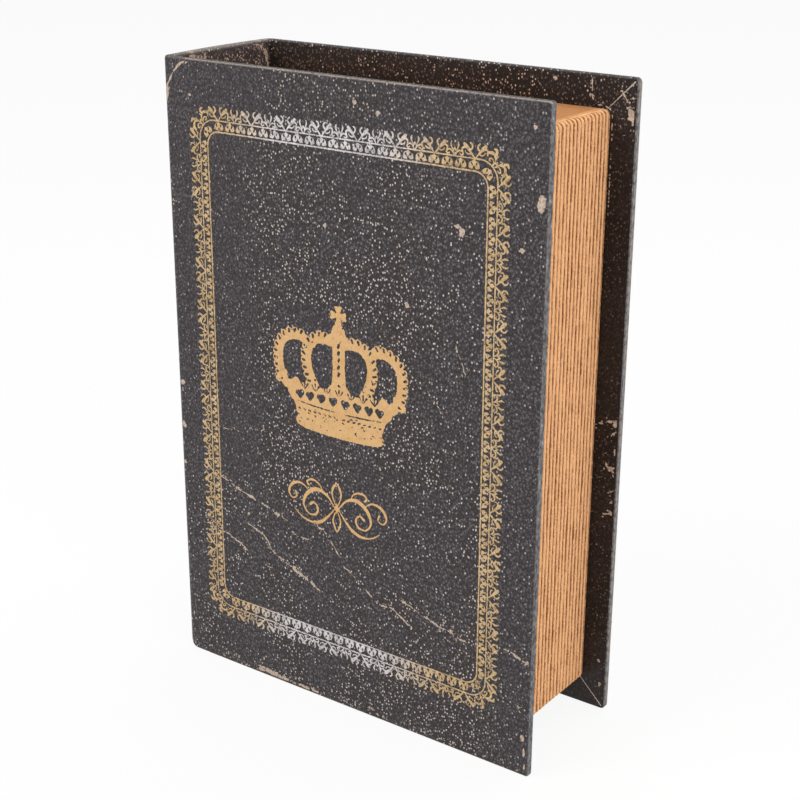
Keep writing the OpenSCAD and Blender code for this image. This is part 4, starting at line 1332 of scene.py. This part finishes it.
class PrintBorder(bpy.types.Operator):
    """Gilt border of lines, palmettes and leaves"""
    bl_idname = "book_box.border"
    bl_label = "Border"

    def execute(self, context):
        c = colours()
        film("border_print", border_canvas(), printing_ink(
            "gilt_border_ink", c.gold, c.gold_low, (c.silver, c.silver_low)))
        return {"FINISHED"}


class PrintCrown(bpy.types.Operator):
    """Gold crown and the flourish under it"""
    bl_idname = "book_box.crown"
    bl_label = "Crown and flourish"

    def execute(self, context):
        ink = printing_ink("flat_gold_ink", colours().amber, colours().amber_low)
        film("crown_print", crown_canvas(), ink)
        film("flourish_print", flourish_canvas(), ink)
        return {"FINISHED"}


class AddWear(bpy.types.Operator):
    """Cracks and rubbed patches of the covering"""
    bl_idname = "book_box.wear"
    bl_label = "Wear"

    def execute(self, context):
        paper = worn_paper()
        film("front_cover_wear", wear_canvas(-86, 101.5, CRACKS, PATCHES, 110, 51), paper)
        bend_with_joint(film("front_joint_wear", joint_wear_canvas(), paper, on_joint, None,
                             strip=0.7))
        film("back_cover_wear", back_wear_canvas(), paper, on_face(BED_Y, -1), CASE)
        film("spine_wear", spine_wear_canvas(), paper, in_spine, CASE)
        film("back_wear", wear_canvas(-92, 101.5, BACK_CRACKS, BACK_PATCHES, 90, 91), paper,
             on_face(BACK_HIGH[1], 1), CASE)
        film("spine_back_wear", wear_canvas(-66, -3.6, SPINE_CRACKS, SPINE_PATCHES, 30, 101),
             paper, on_joint, CASE, strip=3.0)
        return {"FINISHED"}


class BuildInside(bpy.types.Operator):
    """Boards, linings and closure parts"""
    bl_idname = "book_box.inside"
    bl_label = "Inside"

    def execute(self, context):
        c = colours()
        for nodes, name, tone, tone_low, grain_mm, roughness, plain in (
                # Greyboard: pressed waste paper, matt and fibrous
                (("front_board", "spine_board", "back_board"), "raw_greyboard", c.board,
                 c.board_low, (0.6, 0.6, 0.6), 0.9, {}),
                # Lining: black uncoated paper with a soft fibre
                (("front_pastedown", "spine_lining", "back_lining", "floor_lining",
                  "wall_lining"), "black_lining_paper", c.lining_high, c.lining,
                 (0.7, 0.7, 0.7), 0.8, {}),
                # Plain fibreboard: brown, matt, with fibres along its length
                (("spine_wall", "tray_floor"), "plain_fibreboard", c.raw_page, c.raw_page_low,
                 (0.5, 0.5, 3.0), 0.85, {}),
                # Zinc-plated steel: bluish, stamped, with a soft even shine
                (("closure_discs",), "zinc_plated_steel", linear("#C3C7CB"), linear("#A9ADB2"),
                 (0.4, 0.4, 0.4), 0.3, PLATED),
                # Nickel-plated magnet: warm and bright
                (("closure_magnets",), "nickel_plated_magnet", linear("#CFCBC2"),
                 linear("#B7B4AC"), (0.5, 0.5, 0.5), 0.22, PLATED)):
            material = fine_grained(name, tone, tone_low, grain_mm, roughness, **plain)
            for node in nodes:
                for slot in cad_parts[node].material_slots:
                    slot.material = material
        return {"FINISHED"}


def seen_white(node, share, rest):
    """A value of share + rest for what the camera, mirrors and glass see, and rest for light."""
    path = node("LightPath").node.outputs
    seen = node("Math MAXIMUM", path["Is Camera Ray"], path["Is Glossy Ray"])
    seen = node("Math MAXIMUM", seen, path["Is Transmission Ray"])
    return node(TIMES_PLUS, seen, share, rest)


class BuildStage(bpy.types.Operator):
    """Floor, lamps, background and camera"""
    bl_idname = "book_box.stage"
    bl_label = "Stage"

    def execute(self, context):
        scene = context.scene
        # Seamless background paper: matt white
        made, shader, node = begin("studio_paper", 0.9)
        shader.inputs["Base Color"].default_value = colours().floor
        white = node("Emission", (1, 1, 1, 1), 1.0)
        mix = node("MixShader", seen_white(node, 0.9, 0.0), shader.outputs[0], white)
        made.node_tree.links.new(mix, made.node_tree.nodes["Material Output"].inputs["Surface"])
        half = 6.0
        mesh = bpy.data.meshes.new("studio_floor")
        mesh.from_pydata([(-half, -half, 0), (half, -half, 0), (half, half, 0),
                          (-half, half, 0)], [], [(0, 1, 2, 3)])
        mesh.materials.append(made)
        floor = linked("studio_floor", mesh)

        world = bpy.data.worlds.new("studio_world")
        scene.world = world
        world.use_nodes = True
        tree = world.node_tree
        back = tree.nodes["Background"]
        back.inputs["Color"].default_value = (1, 1, 1, 1)
        tree.links.new(seen_white(functools.partial(add, tree), 0.5, 0.5),
                       back.inputs["Strength"])

        aim = np.array([0, 0, 0.15])
        for name, place, size, power in (("key_lamp", (-0.9, -1.5, 1.5), 1.2, 21.0),
                                         ("fill_lamp", (1.6, -0.9, 0.9), 1.2, 15.0),
                                         ("top_lamp", (0.2, 0.6, 2.0), 1.4, 13.0)):
            lamp = bpy.data.lights.new(name, "AREA")
            lamp.size = size
            lamp.energy = power
            obj = linked(name, lamp)
            obj.location = place
            way = aim - place
            obj.rotation_euler = (math.atan2(math.hypot(way[0], way[1]), -way[2]), 0,
                                  math.atan2(-way[0], way[1]))

        view = bpy.data.cameras.new("photo_camera")
        view.sensor_width = 36.0
        view.lens = 70.826
        view.clip_end = 50
        camera = linked("photo_camera", view)
        azimuth, lift, roll = (math.radians(v) for v in (35.5872, 20.4485, 0.22927))
        back = np.array([math.sin(azimuth) * math.cos(lift),
                         -math.cos(azimuth) * math.cos(lift), math.sin(lift)])
        right = np.array([math.cos(azimuth), math.sin(azimuth), 0.0])
        up = np.cross(back, right)
        right, up = (right * math.cos(roll) + up * math.sin(roll),
                     -right * math.sin(roll) + up * math.cos(roll))
        place = np.array([0.403866, -0.556346, 0.402087])
        camera.matrix_world = Matrix([[right[i], up[i], back[i], place[i]] for i in range(3)]
                                     + [[0, 0, 0, 1]])
        scene.camera = camera
        scene.view_settings.view_transform = "Standard"
        return {"FINISHED"}


class BookBoxPanel(bpy.types.Panel):
    bl_label = "Book box"
    bl_idname = "VIEW3D_PT_book_box"
    bl_space_type = "VIEW_3D"
    bl_region_type = "UI"
    bl_category = "Book box"

    def draw(self, context):
        for operator in OPERATORS:
            self.layout.operator(operator.bl_idname, text=operator.bl_label)
        for group in (context.scene.book_box_sizes, context.scene.book_box_colours):
            for key in group.__annotations__:
                self.layout.prop(group, key)


OPERATORS = (BuildStage, BuildCovers, BuildSpine, BuildPages, BuildInside, PrintBorder,
             PrintCrown, AddWear)
CLASSES = (BookBoxSizes, BookBoxColours) + OPERATORS + (BookBoxPanel,)


def register():
    for c in CLASSES:
        bpy.utils.register_class(c)
    bpy.types.Scene.book_box_sizes = bpy.props.PointerProperty(type=BookBoxSizes)
    bpy.types.Scene.book_box_colours = bpy.props.PointerProperty(type=BookBoxColours)


def unregister():
    del bpy.types.Scene.book_box_sizes
    del bpy.types.Scene.book_box_colours
    for c in reversed(CLASSES):
        bpy.utils.unregister_class(c)


def main():
    register()
    for operator in OPERATORS:
        group, name = operator.bl_idname.split(".")
        getattr(getattr(bpy.ops, group), name)()


if __name__ == "__main__":
    main()
